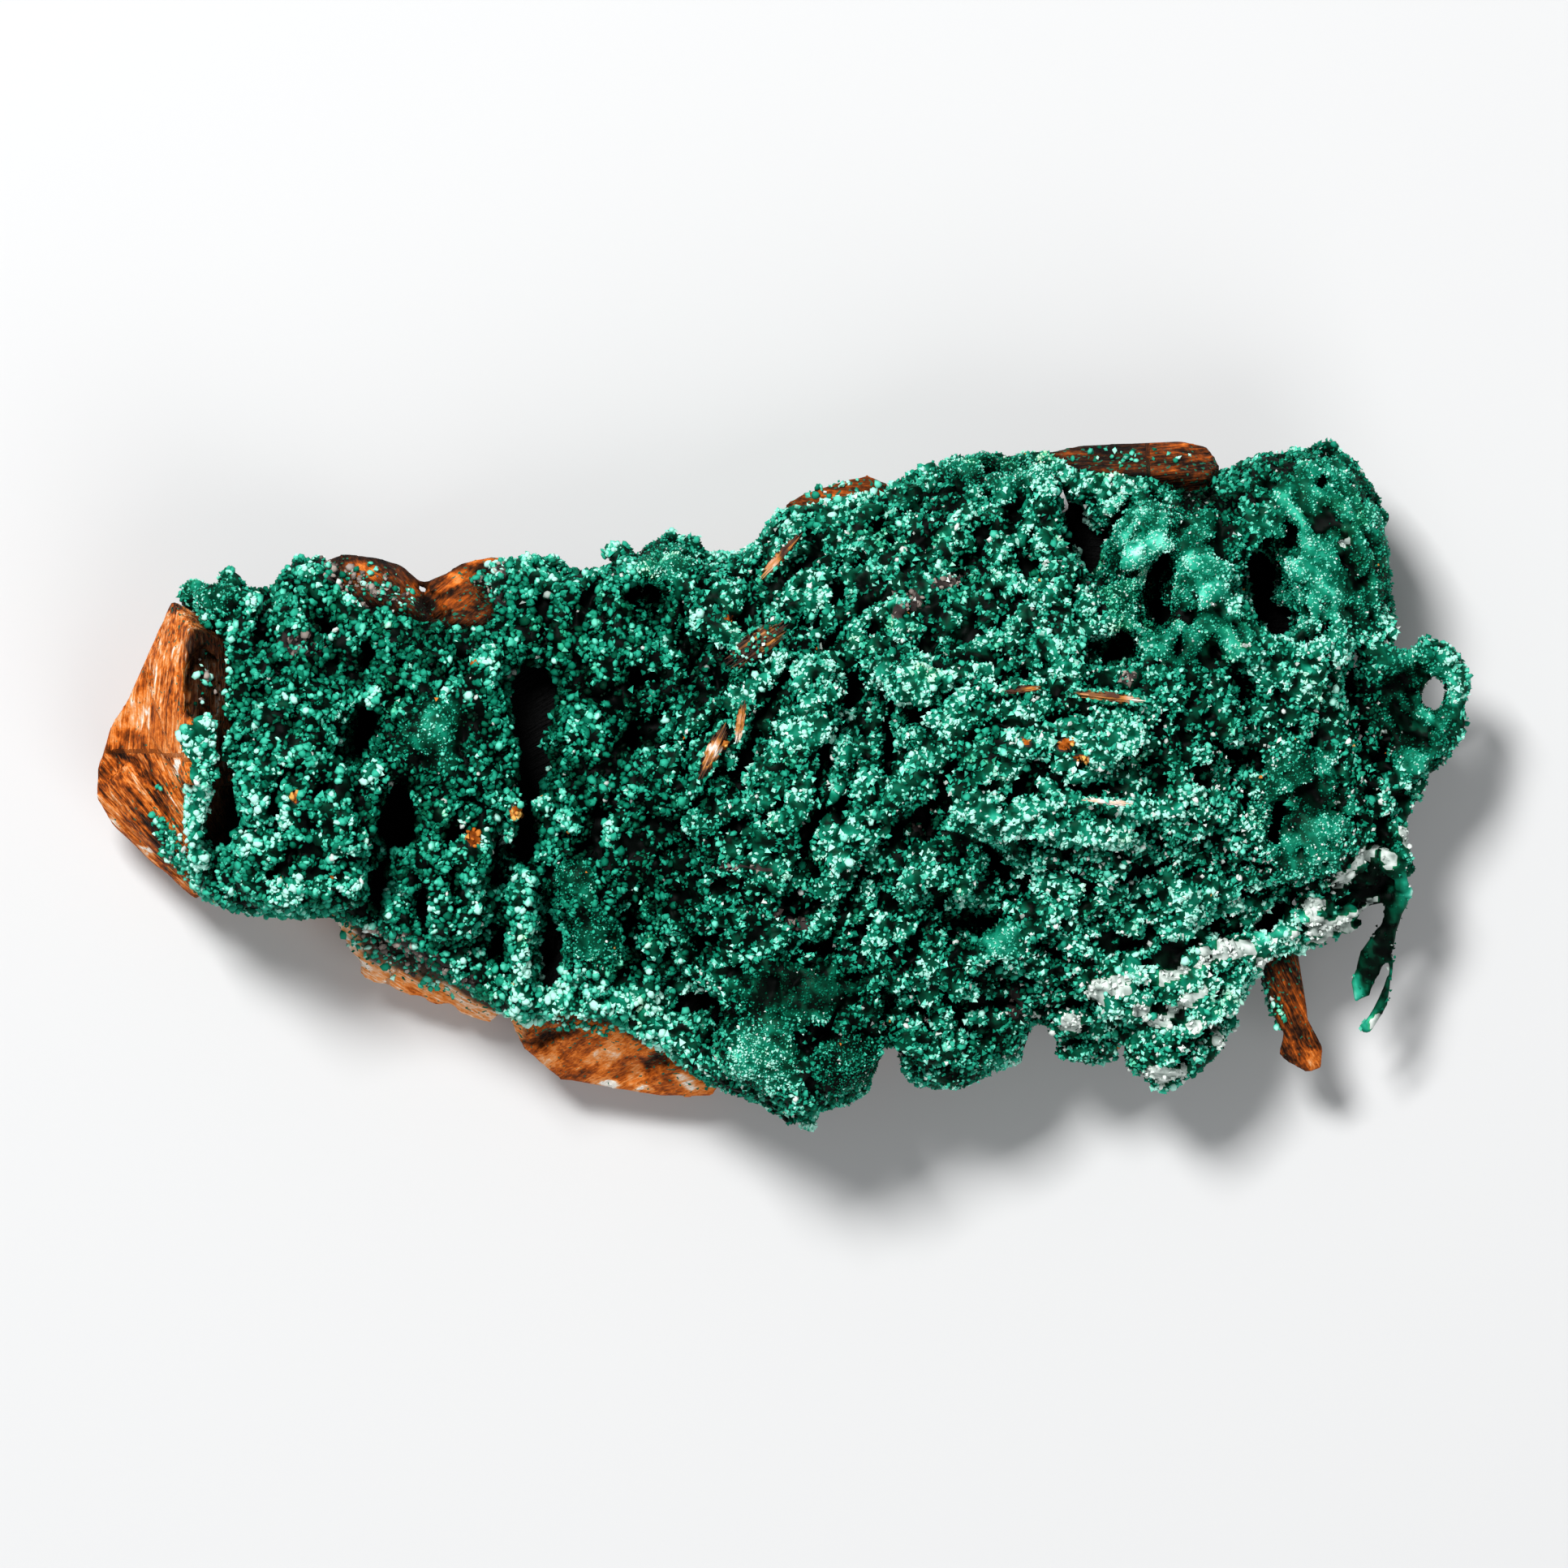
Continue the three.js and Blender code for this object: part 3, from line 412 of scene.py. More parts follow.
def fibre_places(points):
    """Where points lie along and across the fibres of the nearest plate, and that plate's number."""
    middles, fans = (np.array([p[i] for p in PLATES]) for i in range(2))
    nearest = np.linalg.norm(points[:, None, :2] - middles, axis=2).argmin(axis=1)
    away = points[:, :2] - fans[nearest]
    along = np.linalg.norm(away, axis=1)
    across = np.arctan2(away[:, 1], away[:, 0]) * np.linalg.norm(middles - fans, axis=1)[nearest]
    return np.stack([along, across, points[:, 2] + 7.0 * nearest], axis=1), nearest


def along_and_across(dx, dy, turn):
    """How far steps of dx and dy go along and across a direction."""
    return dx * math.cos(turn) + dy * math.sin(turn), dy * math.cos(turn) - dx * math.sin(turn)


def in_oval(x, y, oval):
    """How far points are from the middle of an oval, where 1 is its edge. It may have no turn."""
    ox, oy, half_length, half_width, turn = (*oval, 0.0)[:5]
    along, across = along_and_across(x - ox, y - oy, turn)
    return np.hypot(along / half_length, across / half_width)


near = (rock.values > ROCK_SHELL[0]) & (rock.values < ROCK_SHELL[1])
places = rock.places(near)
fibres, _ = fibre_places(places)
strands = noise(fibres * STRANDS, 11)
threads = noise(fibres * THREADS, 13)
lumps = noise(places / 3.5, 12)
above = smooth_step(places[:, 2], SMOOTH_BELOW, ROUGH_ABOVE)
distances = rock.values[near]
solid = smooth_step(rock.at(places, highest_nearby(-rock.values, 4)), 1.2, 2.4)
rough_near = distances + above * solid * (
    STRAND_DEPTH * np.abs(strands) + THREAD_DEPTH * threads + LUMP_DEPTH * lumps - 0.12
)
humps = smooth_step(places[:, 1], HUMPS_ABOVE, HUMPS_ABOVE + 1.0)
humps = humps * smooth_step(-places[:, 0], -HUMPS_RIGHT, 2.0 - HUMPS_RIGHT) * (places[:, 0] > HUMPS_LEFT)
rough_near += above * solid * humps * (HUMP_DEPTH * noise(places / 1.1, 18) + 0.15)
wobble = 0.25 * noise(places / 1.2, 14)
on_top = above * smooth_step(column_share(rock, rock.values.min(axis=2) < 0.0, 3.0, places), 0.6, 0.9)
for cut in ROCK_CUTS:
    hollow = (1.0 - in_oval(places[:, 0] + wobble, places[:, 1] + wobble, cut)) * 1.4 * cut[3]
    depth = cut[5] * (on_top if cut[5] < CUT_THROUGH else above)
    rough_near = np.maximum(rough_near, np.minimum(hollow, distances + depth))
rough = rock.values.copy()
rough[near] = rough_near
heights = (np.arange(rough.shape[2]) + rock.corner[2]) * VOXEL
rough = np.maximum(rough, -heights[None, None, :])
rock_shape = Field(rough.astype(FLOAT), rock.corner)
points, faces = polygons_of(rock_shape)
points[:, 2] = np.maximum(points[:, 2], 0.0)
rock_points = points
fibres, plate = fibre_places(points)

# The colour: each plate's stain with its spots, and painted shade, near black, in the seam under the
# crust's edge and on the rock beneath the crust.
stain, stripes = (np.array([p[i] for p in PLATES])[plate] for i in (2, 3))
ragged = points[:, :2] + 0.35 * np.stack([noise(points / 0.8, 16), noise(points / 0.8, 17)], axis=1)
for oval in STAINS:
    stain = stain + 1.3 * oval[5] * (1.0 - smooth_step(in_oval(*ragged.T, oval), 0.5, 1.2))
crust_gap = crust.at(points)
seam = 1.0 - smooth_step(crust_gap, 0.1, 0.8)
covered = smooth_step(column_share(crust, crust.values.min(axis=2) < 0.0, 9.0, points), 0.6, 0.74)
painted_shade = np.maximum(0.85 * seam, covered * smooth_step(points[:, 2], 2.5, 4.5))
# The hollow beside the left plate gets painted shade. Its left side has a step.
HOLLOW_STEP, HOLLOW_SIDES, HOLLOW_RIGHT = 4.3, (-40.0, -39.1), -36.0
HOLLOW_FOOT, HOLLOW_TOP = (-6.5, -5.5), (10.0, 10.8)
hollow_start = np.where(points[:, 1] > HOLLOW_STEP, *HOLLOW_SIDES)
hollow_shade = smooth_step(ragged[:, 0] - hollow_start, -0.2, 0.2) * (points[:, 0] < HOLLOW_RIGHT)
hollow_shade *= smooth_step(ragged[:, 1], *HOLLOW_FOOT) * (1.0 - smooth_step(ragged[:, 1], *HOLLOW_TOP))
painted_shade = np.maximum(painted_shade, 0.95 * hollow_shade)
# Grey grime covers the ledge at the lower left, up to a clean rim along its edge.
LEDGE_LEFT, LEDGE_RIGHT, LEDGE_TOP, LEDGE_HEIGHT = -31.0, -18.5, -8.0, 4.0
LEDGE_RIM = (
    (-30.5, -9.5), (-29.4, -11.2), (-28.5, -13.0), (-25.6, -13.8), (-22.4, -14.7), (-19.6, -16.8),
    (-17.5, -17.4),
)
rim_gap = np.full(len(points), 99.0)
for start, end in zip(np.array(LEDGE_RIM[:-1]), np.array(LEDGE_RIM[1:])):
    side, away = end - start, points[:, :2] - start
    t = np.clip(away @ side / (side @ side), 0.0, 1.0)
    rim_gap = np.minimum(rim_gap, np.linalg.norm(away - t[:, None] * side, axis=1))
ledge = (points[:, 0] > LEDGE_LEFT) & (points[:, 0] < LEDGE_RIGHT)
ledge = ledge & (points[:, 1] < LEDGE_TOP) & (points[:, 2] > LEDGE_HEIGHT)
grime = 0.95 * ledge * smooth_step(rim_gap + 0.4 * noise(points / 0.9, 15), 0.8, 1.2)

GRIME, GREEN_FLECKS = (0.035, 0.032, 0.028, 1.0), (0.012, 0.13, 0.075, 1.0)
# The black of the painted shade.
SHADE = (0.002, 0.002, 0.002, 1.0)

rock_material, nodes = new_material("stained_barite")
fibre_place = nodes.attribute("fibres", "Vector")


def stretched(scale, detail):
    """Noise drawn out along the fibres: repeats to a millimetre along, across and up."""
    scaled = nodes.node("ShaderNodeVectorMath", {"operation": "MULTIPLY"}, {0: fibre_place, 1: scale})
    sockets = {"Vector": scaled, "Scale": 1.0, "Detail": detail, "Roughness": 0.55}
    return nodes.node("ShaderNodeTexNoise", {}, sockets)


fine_lines = stretched((0.4, 8.0, 3.0), 3.0)
broad_lines = stretched((0.14, 2.4, 1.0), 2.0)
patches = stretched((0.35, 0.7, 0.4), 3.0)
grit = stretched((2.2, 3.2, 2.6), 3.0)
specks = stretched((3.6, 3.9, 3.7), 0.0)
streaks = 1.5 * fine_lines + broad_lines + 0.6 * grit - 1.55
level = nodes.attribute("stain") + nodes.attribute("stripes") * streaks + 0.8 * patches + 0.3 * grit - 0.55
colour = nodes.ramp(
    level,
    (0.04, (0.006, 0.003, 0.002)),
    (0.18, (0.04, 0.012, 0.004)),
    (0.32, (0.16, 0.034, 0.005)),
    (0.46, (0.4, 0.078, 0.008)),
    (0.6, (0.72, 0.18, 0.022)),
    (0.76, (0.82, 0.32, 0.1)),
    (0.9, (0.86, 0.55, 0.36)),
    (1.0, (0.92, 0.86, 0.77)),
)
colour = nodes.mix(nodes.attribute("grime"), colour, GRIME)
flecked = nodes.step(specks + 0.12 * nodes.attribute("close"), 0.76, 0.8)
colour = nodes.mix(flecked, colour, GREEN_FLECKS)
# Painted shade darkens the stain to black in the seam, under the crust and in the hollow.
colour = nodes.mix(nodes.attribute("shade"), colour, SHADE)
relief = fine_lines + broad_lines + grit
bump = nodes.node("ShaderNodeBump", {}, {"Strength": 0.7, "Distance": 0.25 * MM, "Height": relief})
nodes.feed(Base_Color=colour, Roughness=0.6, Specular_IOR_Level=0.05, Normal=bump)
close = 1.0 - smooth_step(crust_gap, 0.5, 3.4)
new_piece(
    "barite_matrix_rough", points, faces, rock_material, "barite_matrix",
    attributes={
        "fibres": fibres, "stain": stain, "stripes": stripes, "shade": painted_shade, "grime": grime, "close": close,
    },
)

# ---------------------------------------------------------------- malachite crust
# Malachite that grew over the rock as knobs, curtains and stalks of grains, with deep gaps between.
# The colour of each spot is a place on a palette: along it from dark to pale, across it by mineral.

OCHRE, BARE, GREEN, CHALK = 0.1, 0.3, 0.55, 0.9

# Knobs that stand out at the crust's edge: middle and radius.
EDGE_KNOBS = (
    (-39.5, 12.6, 1.2), (-37.4, 13.1, 1.3), (-33.2, 14.2, 1.0), (-31.2, 14.4, 0.9), (-11.0, 15.0, 1.1),
    (-7.6, 15.9, 1.2), (-6.2, 15.6, 1.1), (33.0, 20.8, 1.4), (34.6, 21.2, 1.4), (36.6, 21.8, 1.4),
    (38.0, 20.9, 1.2), (40.2, 18.0, 1.0), (40.2, 12.0, 1.0), (44.7, 7.8, 0.8), (45.2, 5.6, 0.8),
    (42.6, -0.6, 1.0), (42.0, -5.5, 1.0), (1.5, -22.6, 1.1), (0.2, -22.0, 1.1), (25.8, -19.6, 1.5),
    (-38.8, 3.6, 0.9), (-38.9, 2.0, 1.0), (-38.9, 0.7, 1.0), (-39.7, 3.3, 0.6), (-39.6, 2.3, 0.6),
    (-39.0, -0.6, 0.9),
)
# Notches cut right through the crust's edge: middle, half length, half width, turn.
NOTCHES = (
    (-38.5, 14.3, 0.9, 0.5, 1.5), (-35.0, 14.2, 1.3, 1.3, 0.0), (7.1, -20.2, 2.4, 1.1, 1.5),
    (17.3, -18.5, 2.2, 1.1, 1.6), (22.7, -19.2, 0.9, 0.4, 1.4), (3.7, -22.6, 1.0, 0.8, 0.3),
    (40.0, -14.3, 2.3, 0.35, 1.15), (38.9, -15.5, 1.3, 0.6, 0.9), (-13.3, 14.7, 1.6, 0.5, 0.1),
    (41.9, 9.6, 0.8, 0.6, 0.4), (-26.6, -11.7, 4.6, 0.9, -0.5),
)
# Dark gaps: middle, half length, half width, turn of the long side, depth, and for some of them how much
# wider the far end is than the middle.
GAPS = (
    # the left head
    (-36.9, 0.2, 0.9, 0.4, 0.2, 2.0), (-37.3, -1.8, 3.0, 1.35, 1.55, 4.5),
    (-37.4, 3.3, 1.9, 0.45, 0.95, 3.0), (-33.9, -1.6, 2.4, 0.7, 1.5, 3.0),
    (-33.0, 1.0, 1.4, 0.45, 0.3, 2.5), (-32.2, 5.2, 1.2, 0.5, 1.4, 2.5), (-30.8, -0.6, 1.0, 0.5, 0.4, 2.5),
    (-28.0, 3.8, 2.1, 1.3, 1.5, 4.0), (-30.0, 1.6, 1.5, 0.4, 0.1, 2.5), (-27.9, 8.5, 1.7, 0.85, 1.5, 3.5),
    (-35.0, 6.4, 1.0, 0.4, 0.8, 2.0), (-34.2, 9.4, 0.9, 0.4, 2.2, 2.0),
    # the neck and the stalks under it
    (-25.6, 7.4, 1.2, 0.45, 1.6, 3.0), (-23.0, 7.7, 1.2, 0.6, 1.5, 3.0), (-21.2, 7.6, 1.0, 0.45, 1.5, 2.5),
    (-16.8, 5.0, 3.6, 1.9, 1.5, 8.0), (-16.9, 0.6, 2.6, 1.5, 1.5, 6.0), (-17.2, -3.6, 2.8, 1.1, 1.5, 4.5),
    (-25.9, -2.4, 2.8, 1.75, 1.45, 5.0, -0.3), (-27.1, -7.2, 2.8, 1.0, 1.5, 5.0),
    (-24.2, -8.4, 2.4, 0.9, 1.5, 5.0), (-22.4, -3.4, 1.6, 0.4, 1.4, 2.5),
    (-21.9, -7.4, 2.0, 0.5, 1.5, 3.5), (-19.2, -4.2, 2.4, 0.55, 1.45, 4.0),
    (-19.0, -6.9, 1.9, 0.5, 0.45, 3.0), (-19.0, -10.8, 2.4, 0.75, 1.05, 5.0),
    (-15.5, -10.9, 2.2, 0.95, 1.5, 5.0), (-16.5, -7.1, 0.9, 0.7, 0.3, 3.0),
    (-10.4, -9.9, 1.4, 0.5, 1.5, 3.0), (-5.9, -14.8, 2.1, 1.1, 0.3, 4.0),
    (-4.4, -15.8, 1.5, 0.7, 1.3, 4.0),
    # the middle
    (-8.7, 12.7, 1.2, 0.9, 1.3, 3.0), (-6.8, 10.4, 1.8, 0.6, 1.4, 3.0), (-9.5, 6.8, 1.4, 0.8, 0.6, 3.0),
    (-10.1, 3.1, 1.1, 0.5, 1.5, 3.0), (0.0, 6.9, 2.3, 0.65, 1.05, 3.5), (4.8, 5.7, 1.1, 0.8, 1.0, 3.0),
    (7.1, 2.8, 2.9, 0.65, 1.5, 4.0), (2.9, 2.0, 2.3, 0.7, 1.1, 4.0), (-0.3, -1.6, 1.5, 0.45, 0.9, 3.0),
    (4.1, -1.5, 1.3, 0.5, 1.2, 3.0), (-3.4, -2.4, 1.6, 0.4, 0.9, 2.5), (16.2, 7.2, 1.1, 0.6, 0.8, 3.0),
    (11.0, 5.9, 1.4, 0.35, 0.05, 2.5), (12.3, 15.2, 1.1, 0.5, 0.3, 2.5), (6.5, 17.3, 1.1, 0.5, 0.8, 2.5),
    (3.6, 14.2, 1.2, 0.4, 0.7, 2.0), (14.6, -5.6, 2.4, 0.7, 2.25, 4.0, 0.2),
    (13.1, -9.2, 1.5, 0.45, -0.1, 3.0), (11.1, -10.6, 0.9, 0.5, 1.5, 2.5),
    (14.7, -12.2, 1.0, 0.5, 2.7, 3.0), (17.7, -11.0, 1.1, 0.6, 2.6, 3.0),
    (3.2, -10.8, 1.4, 0.65, 0.95, 3.5), (1.4, -12.0, 2.6, 0.4, 0.05, 3.0),
    (5.0, -12.9, 0.9, 0.6, 0.6, 3.0), (6.9, -16.0, 2.0, 0.5, 1.6, 4.0), (9.4, -15.4, 2.6, 0.5, 2.2, 3.5),
    (11.7, -15.6, 2.8, 0.5, 2.1, 3.5),
    # the block and the wing on the right
    (19.2, 18.6, 3.3, 0.45, -1.21, 5.0), (22.3, 17.6, 3.2, 0.5, 1.07, 5.0),
    (20.6, 15.0, 2.0, 0.7, 1.5, 5.0), (19.5, 11.6, 2.6, 0.4, 1.55, 3.0),
    (27.0, 20.0, 2.7, 0.6, -0.35, 4.0), (25.5, 14.5, 1.2, 0.8, 1.3, 3.0), (25.2, 11.9, 1.4, 0.6, 1.4, 3.0),
    (22.2, 8.8, 1.4, 1.0, 0.8, 4.0), (32.0, 13.6, 3.1, 1.0, -1.35, 9.0, 0.3),
    (32.9, 11.2, 1.9, 1.5, -0.7, 9.0, 0.2), (36.5, 10.3, 1.1, 0.45, 1.65, 2.5),
    (38.3, 7.6, 2.2, 0.6, 1.35, 3.0), (35.1, 9.4, 0.8, 0.4, 0.2, 2.0), (42.4, 8.4, 0.6, 0.5, 0.0, 2.0),
    (38.9, 3.4, 1.0, 0.6, 1.3, 2.5), (40.1, 1.8, 0.9, 0.4, 0.7, 2.0), (30.9, 5.8, 2.6, 0.55, 1.6, 3.5),
    (29.8, 2.1, 1.6, 0.75, 2.6, 3.5), (30.8, -1.0, 1.4, 0.6, 1.7, 3.5), (33.0, -2.7, 1.7, 0.5, 1.5, 3.5),
    (34.0, 17.0, 0.8, 0.4, 1.7, 2.0), (36.0, 20.0, 0.8, 0.45, 1.5, 2.0), (37.1, 6.8, 0.5, 0.4, 0.0, 1.5),
    (35.6, 2.6, 0.8, 0.5, 1.5, 2.0), (18.1, 4.3, 0.8, 0.4, 0.2, 2.0), (33.3, -8.9, 2.2, 0.9, 0.6, 4.0),
    (29.2, -14.2, 0.9, 0.5, 1.0, 2.5),
)

# Smoother parts of the crust: middle, half length, half width.
VELVETY = (
    (-23.2, 3.2, 2.7, 3.0), (-12.7, -10.4, 2.1, 2.3), (-14.1, -6.6, 1.9, 1.8), (14.6, -10.6, 1.6, 1.1),
    (1.0, -14.2, 4.8, 2.3), (24.0, 15.5, 2.2, 3.4), (28.3, 13.0, 1.8, 4.2), (30.2, 10.0, 1.8, 1.8),
    (35.2, -3.2, 2.8, 3.8), (38.6, 16.8, 1.8, 2.4), (36.3, 18.6, 1.6, 1.4), (26.8, 9.0, 2.2, 1.7),
    (42.6, 5.0, 3.0, 5.0), (41.0, -8.0, 2.5, 4.0), (-38.4, 12.8, 2.2, 1.8), (-8.0, 15.0, 2.6, 1.8),
    (-1.1, -18.2, 3.1, 3.1), (4.3, -18.8, 2.4, 2.6), (14.5, 21.0, 4.5, 1.6), (25.5, 14.0, 5.5, 6.5),
    (37.0, 16.0, 5.5, 7.5), (35.0, -2.0, 4.0, 5.5),
)
# Satin skins with few grains on them: middle, half length, half width, turn, how bare.
SATIN = (
    (-12.7, -10.4, 1.9, 2.1, 0.0, 0.15), (-14.1, -6.8, 1.7, 1.6, 0.0, 0.15),
    (-23.3, 3.0, 2.5, 3.2, 0.0, 0.15), (1.2, -13.8, 4.6, 1.9, 0.0, 0.5), (14.6, -10.6, 1.6, 1.2, 0.0, 0.4),
    (23.6, 16.5, 2.2, 3.2, 0.0, 0.3), (28.3, 14.0, 2.0, 4.8, 0.0, 0.3), (36.8, 16.5, 6.0, 6.5, 0.0, 0.3),
    (42.5, 5.0, 3.2, 5.0, 0.0, 0.4), (40.5, -11.0, 3.0, 7.5, 0.0, 0.9), (35.5, -2.5, 3.4, 4.8, 0.0, 0.3),
    (30.4, 9.6, 2.0, 2.2, 0.0, 0.35), (26.3, 9.2, 2.4, 1.6, 0.0, 0.3),
)


def nearest_oval(x, y, ovals):
    """How far points are from the middle of the nearest oval, where 1 is its edge."""
    best = np.full(len(x), 9.0)
    for oval in ovals:
        best = np.minimum(best, in_oval(x, y, oval))
    return best


def smoothness(x, y):
    """1 in the middle of the smoother parts, 0 outside them."""
    return 1.0 - smooth_step(nearest_oval(x, y, VELVETY), 0.6, 1.1)


def satin_at(points):
    """How bare of grains the skin is at points."""
    bare_skin = np.zeros(len(points))
    for oval in SATIN:
        inside = 1.0 - smooth_step(in_oval(*points.T[:2], oval), 0.7, 1.15)
        bare_skin = np.maximum(bare_skin, oval[5] * inside)
    return bare_skin


def add_balls(values, centres, radii, turns=None, stretches=None, keep=None):
    """Adds balls, some drawn out, to a grid of distances. Each leaves its number where it is nearest."""
    turns = np.zeros(len(radii)) if turns is None else turns
    stretches = np.ones(len(radii)) if stretches is None else stretches
    for number, (centre, radius, turn, stretch) in enumerate(zip(centres, radii, turns, stretches)):
        reach = radius * stretch + 1.5 * VOXEL
        low = np.maximum(np.floor((centre - reach) / VOXEL).astype(int) - crust.corner, 0)
        high = np.minimum(np.ceil((centre + reach) / VOXEL).astype(int) - crust.corner + 1, values.shape)
        if (low >= high).any():
            continue
        region = tuple(slice(*ends) for ends in zip(low, high))
        dx, dy, dz = np.ix_(
            *((np.arange(*ends) + first) * VOXEL - middle
              for *ends, first, middle in zip(low, high, crust.corner, centre))
        )
        along, across = along_and_across(dx, dy, turn)
        gap = np.sqrt((along / stretch) ** 2 + across**2 + dz**2) - radius
        block = values[region]
        nearer = gap < block
        block[nearer] = gap[nearer]
        if keep is not None:
            keep[region][nearer] = number


def fractal_noise(points, seed, octaves):
    """Noise with finer and weaker noise on top of it."""
    return sum(noise(points * 2.0**i, seed + 100 * i) * 0.55**i for i in range(octaves))


# The form: the solid with its edges softened, its knobs added and its notches cut.
form = np.minimum(blurred(crust.values, 1.0), crust.values + 0.05)
inside_crust, inside_rock = np.argwhere(crust.values < -0.3), np.argwhere(rock.values < 0.0)


def heights_near(inside, field, x, y, reach):
    """The heights of the voxels inside a field that stand within reach of a place."""
    away = np.hypot(*((inside[:, :2] + field.corner[:2]) * VOXEL - (x, y)).T)
    return (inside[away < reach, 2] + field.corner[2]) * VOXEL


edge_centres = []
for kx, ky, _ in EDGE_KNOBS:
    away = np.hypot(*((inside_crust[:, :2] + crust.corner[:2]) * VOXEL - (kx, ky)).T)
    column = inside_crust[away.argmin()]
    heights = inside_crust[(inside_crust[:, :2] == column[:2]).all(axis=1), 2]
    height = (np.median(heights) + crust.corner[2]) * VOXEL
    rock_top = heights_near(inside_rock, rock, kx, ky, VOXEL).max(initial=0.0)
    edge_centres.append((kx, ky, max(height, rock_top)))
add_balls(form, np.array(edge_centres), [knob[2] for knob in EDGE_KNOBS])
grid_x, grid_y = ((np.arange(form.shape[i]) + crust.corner[i]) * VOXEL for i in range(2))
for notch in NOTCHES:
    cut = (1.0 - in_oval(grid_x[:, None], grid_y[None, :], notch)) * notch[3]
    form = np.maximum(form, cut[:, :, None].astype(FLOAT))
half_thickness = highest_nearby(-form, 3)
CRUST_SHELL = (-4.5, 0.6)  # distances from the form's surface between which it is eaten away
near = (form > CRUST_SHELL[0]) & (form < CRUST_SHELL[1])
places = crust.places(near)
x, y, z = places.T
rock_distance = rock.at(places)


def grain_directions(x, y):
    """The angle of the crust's grain and how strongly it shows, for each of its four regions."""
    left = 1.0 - smooth_step(x, -16.0, -8.0)
    wing = smooth_step(x, 26.0, 32.0) * smooth_step(y, -2.0, 6.0)
    level = smooth_step(x, 6.0, 18.0) * (1.0 - smooth_step(y, 0.0, 9.0)) * (1.0 - wing)
    middle = np.clip(1.0 - left - wing - level, 0.0, 1.0)
    return ((1.55, left), (-1.0, wing), (0.15, level), (0.95, middle))


def stretched_noise(places, spacing, length, seed):
    """Noise drawn out along the crust's grain."""
    warp = 0.9 * np.stack([noise(places / 6.0, seed + 1), noise(places / 6.0, seed + 2)], axis=1)
    px, py = places[:, 0] + warp[:, 0], places[:, 1] + warp[:, 1]
    total = np.zeros(len(places), FLOAT)
    for angle, weight in grain_directions(px, py):
        along, across = along_and_across(px, py, angle)
        shown = weight > 0.01
        spots = np.stack([along / length, across / spacing, places[:, 2] / spacing], axis=1)[shown]
        total[shown] += weight[shown] * noise(spots, seed)
    return total


# How deeply long gaps and small pits cut each of the four regions.
LONG_GAPS, SMALL_PITS = (3.8, 1.8, 1.5, 2.6), (0.3, 0.7, 1.3, 1.0)
# Over rock that stands this high, nothing but the rock limits how deep a dark gap goes.
TALL_ROCK, NO_LIMIT = 2.0, 9.0

# The crust is eaten away in channels and pits along its grain, less where it is velvety.
strands = stretched_noise(places, 2.6, 6.0, 31)
clumps = stretched_noise(places, 1.4, 2.2, 41)
crumbs = noise(places / 0.8, 51)
pits = stretched_noise(places, 0.9, 1.3, 61)
velvet = smoothness(x, y)
shares = [weight for _, weight in grain_directions(x, y)]
long_gaps = sum(depth * share for depth, share in zip(LONG_GAPS, shares))
small_pits = sum(depth * share for depth, share in zip(SMALL_PITS, shares))
upper_part = 0.3 + 0.7 * smooth_step(z, 5.0, 8.0)
channels = smooth_step(0.75 * strands + 0.65 * clumps + 0.15 * crumbs, 0.0, 0.5)
erosion = long_gaps * (1.0 - 0.35 * velvet) * channels
erosion += small_pits * (1.0 - 0.4 * velvet) * smooth_step(pits + 0.3 * crumbs, 0.05, 0.5)
erosion = erosion * upper_part + 0.45 - 0.25 * velvet
allowed = crust.at(places, half_thickness) - 0.5
tall_rock = (rock.values[:, :, round(TALL_ROCK / VOXEL) - rock.corner[2]:] < 0.0).any(axis=2)
deepest = np.where(column_share(rock, tall_rock, 2.0, places) > 0.9, NO_LIMIT, allowed)
erosion = np.minimum(erosion, np.maximum(allowed, 0.0)) * smooth_step(rock_distance, 0.35, 0.9)
values = form.copy()
values[near] += erosion - 0.02

# The dark gaps, down to the rock where it is tall.
wobble = 0.35 * np.stack([fractal_noise(places / 1.6, 81, 2), fractal_noise(places / 1.6, 82, 2)], axis=1)
gap_floor = np.zeros_like(form)
gap_core = np.full(form.shape, -9.0, FLOAT)
for gx, gy, half_length, half_width, turn, deep, *wider in GAPS:
    along, across = along_and_across(x + wobble[:, 0] - gx, y + wobble[:, 1] - gy, turn)
    along /= half_length
    across /= half_width * (1.0 + sum(wider) * np.clip(along, -0.9, 1.0))
    inside = along**2 + across**2 < 2.0
    hollow = (1.0 - np.sqrt(along[inside] ** 2 + across[inside] ** 2)) * half_width * 1.3
    hollow += 0.45 * min(half_width, 1.0) * crumbs[inside]
    here = np.zeros_like(near)
    here[near] = inside
    floor_depth = np.minimum(deep, deepest[inside]) + form[here]
    values[here] = np.maximum(values[here], np.minimum(hollow, floor_depth))
    gap_core[here] = np.maximum(gap_core[here], np.minimum(hollow - 0.25, floor_depth))
    gap_floor[here] = np.maximum(gap_floor[here], np.clip(np.minimum(hollow, 1.0), 0.0, 1.0))

# Smooth balls that stand whole in the broken crust: middle and radius.
WHOLE_BALLS = (
    (-12.7, -10.4, 1.9), (-14.1, -6.8, 1.6), (-23.4, 3.4, 2.3), (-22.6, 1.2, 1.7), (14.6, -10.6, 1.3),
    (-1.1, -18.2, 2.9), (4.2, -18.7, 2.4), (-1.5, -13.9, 1.8), (2.2, -13.8, 2.3), (25.5, -19.6, 1.2),
)
BALL_DEPTH = 0.8  # of a radius below the crust's top

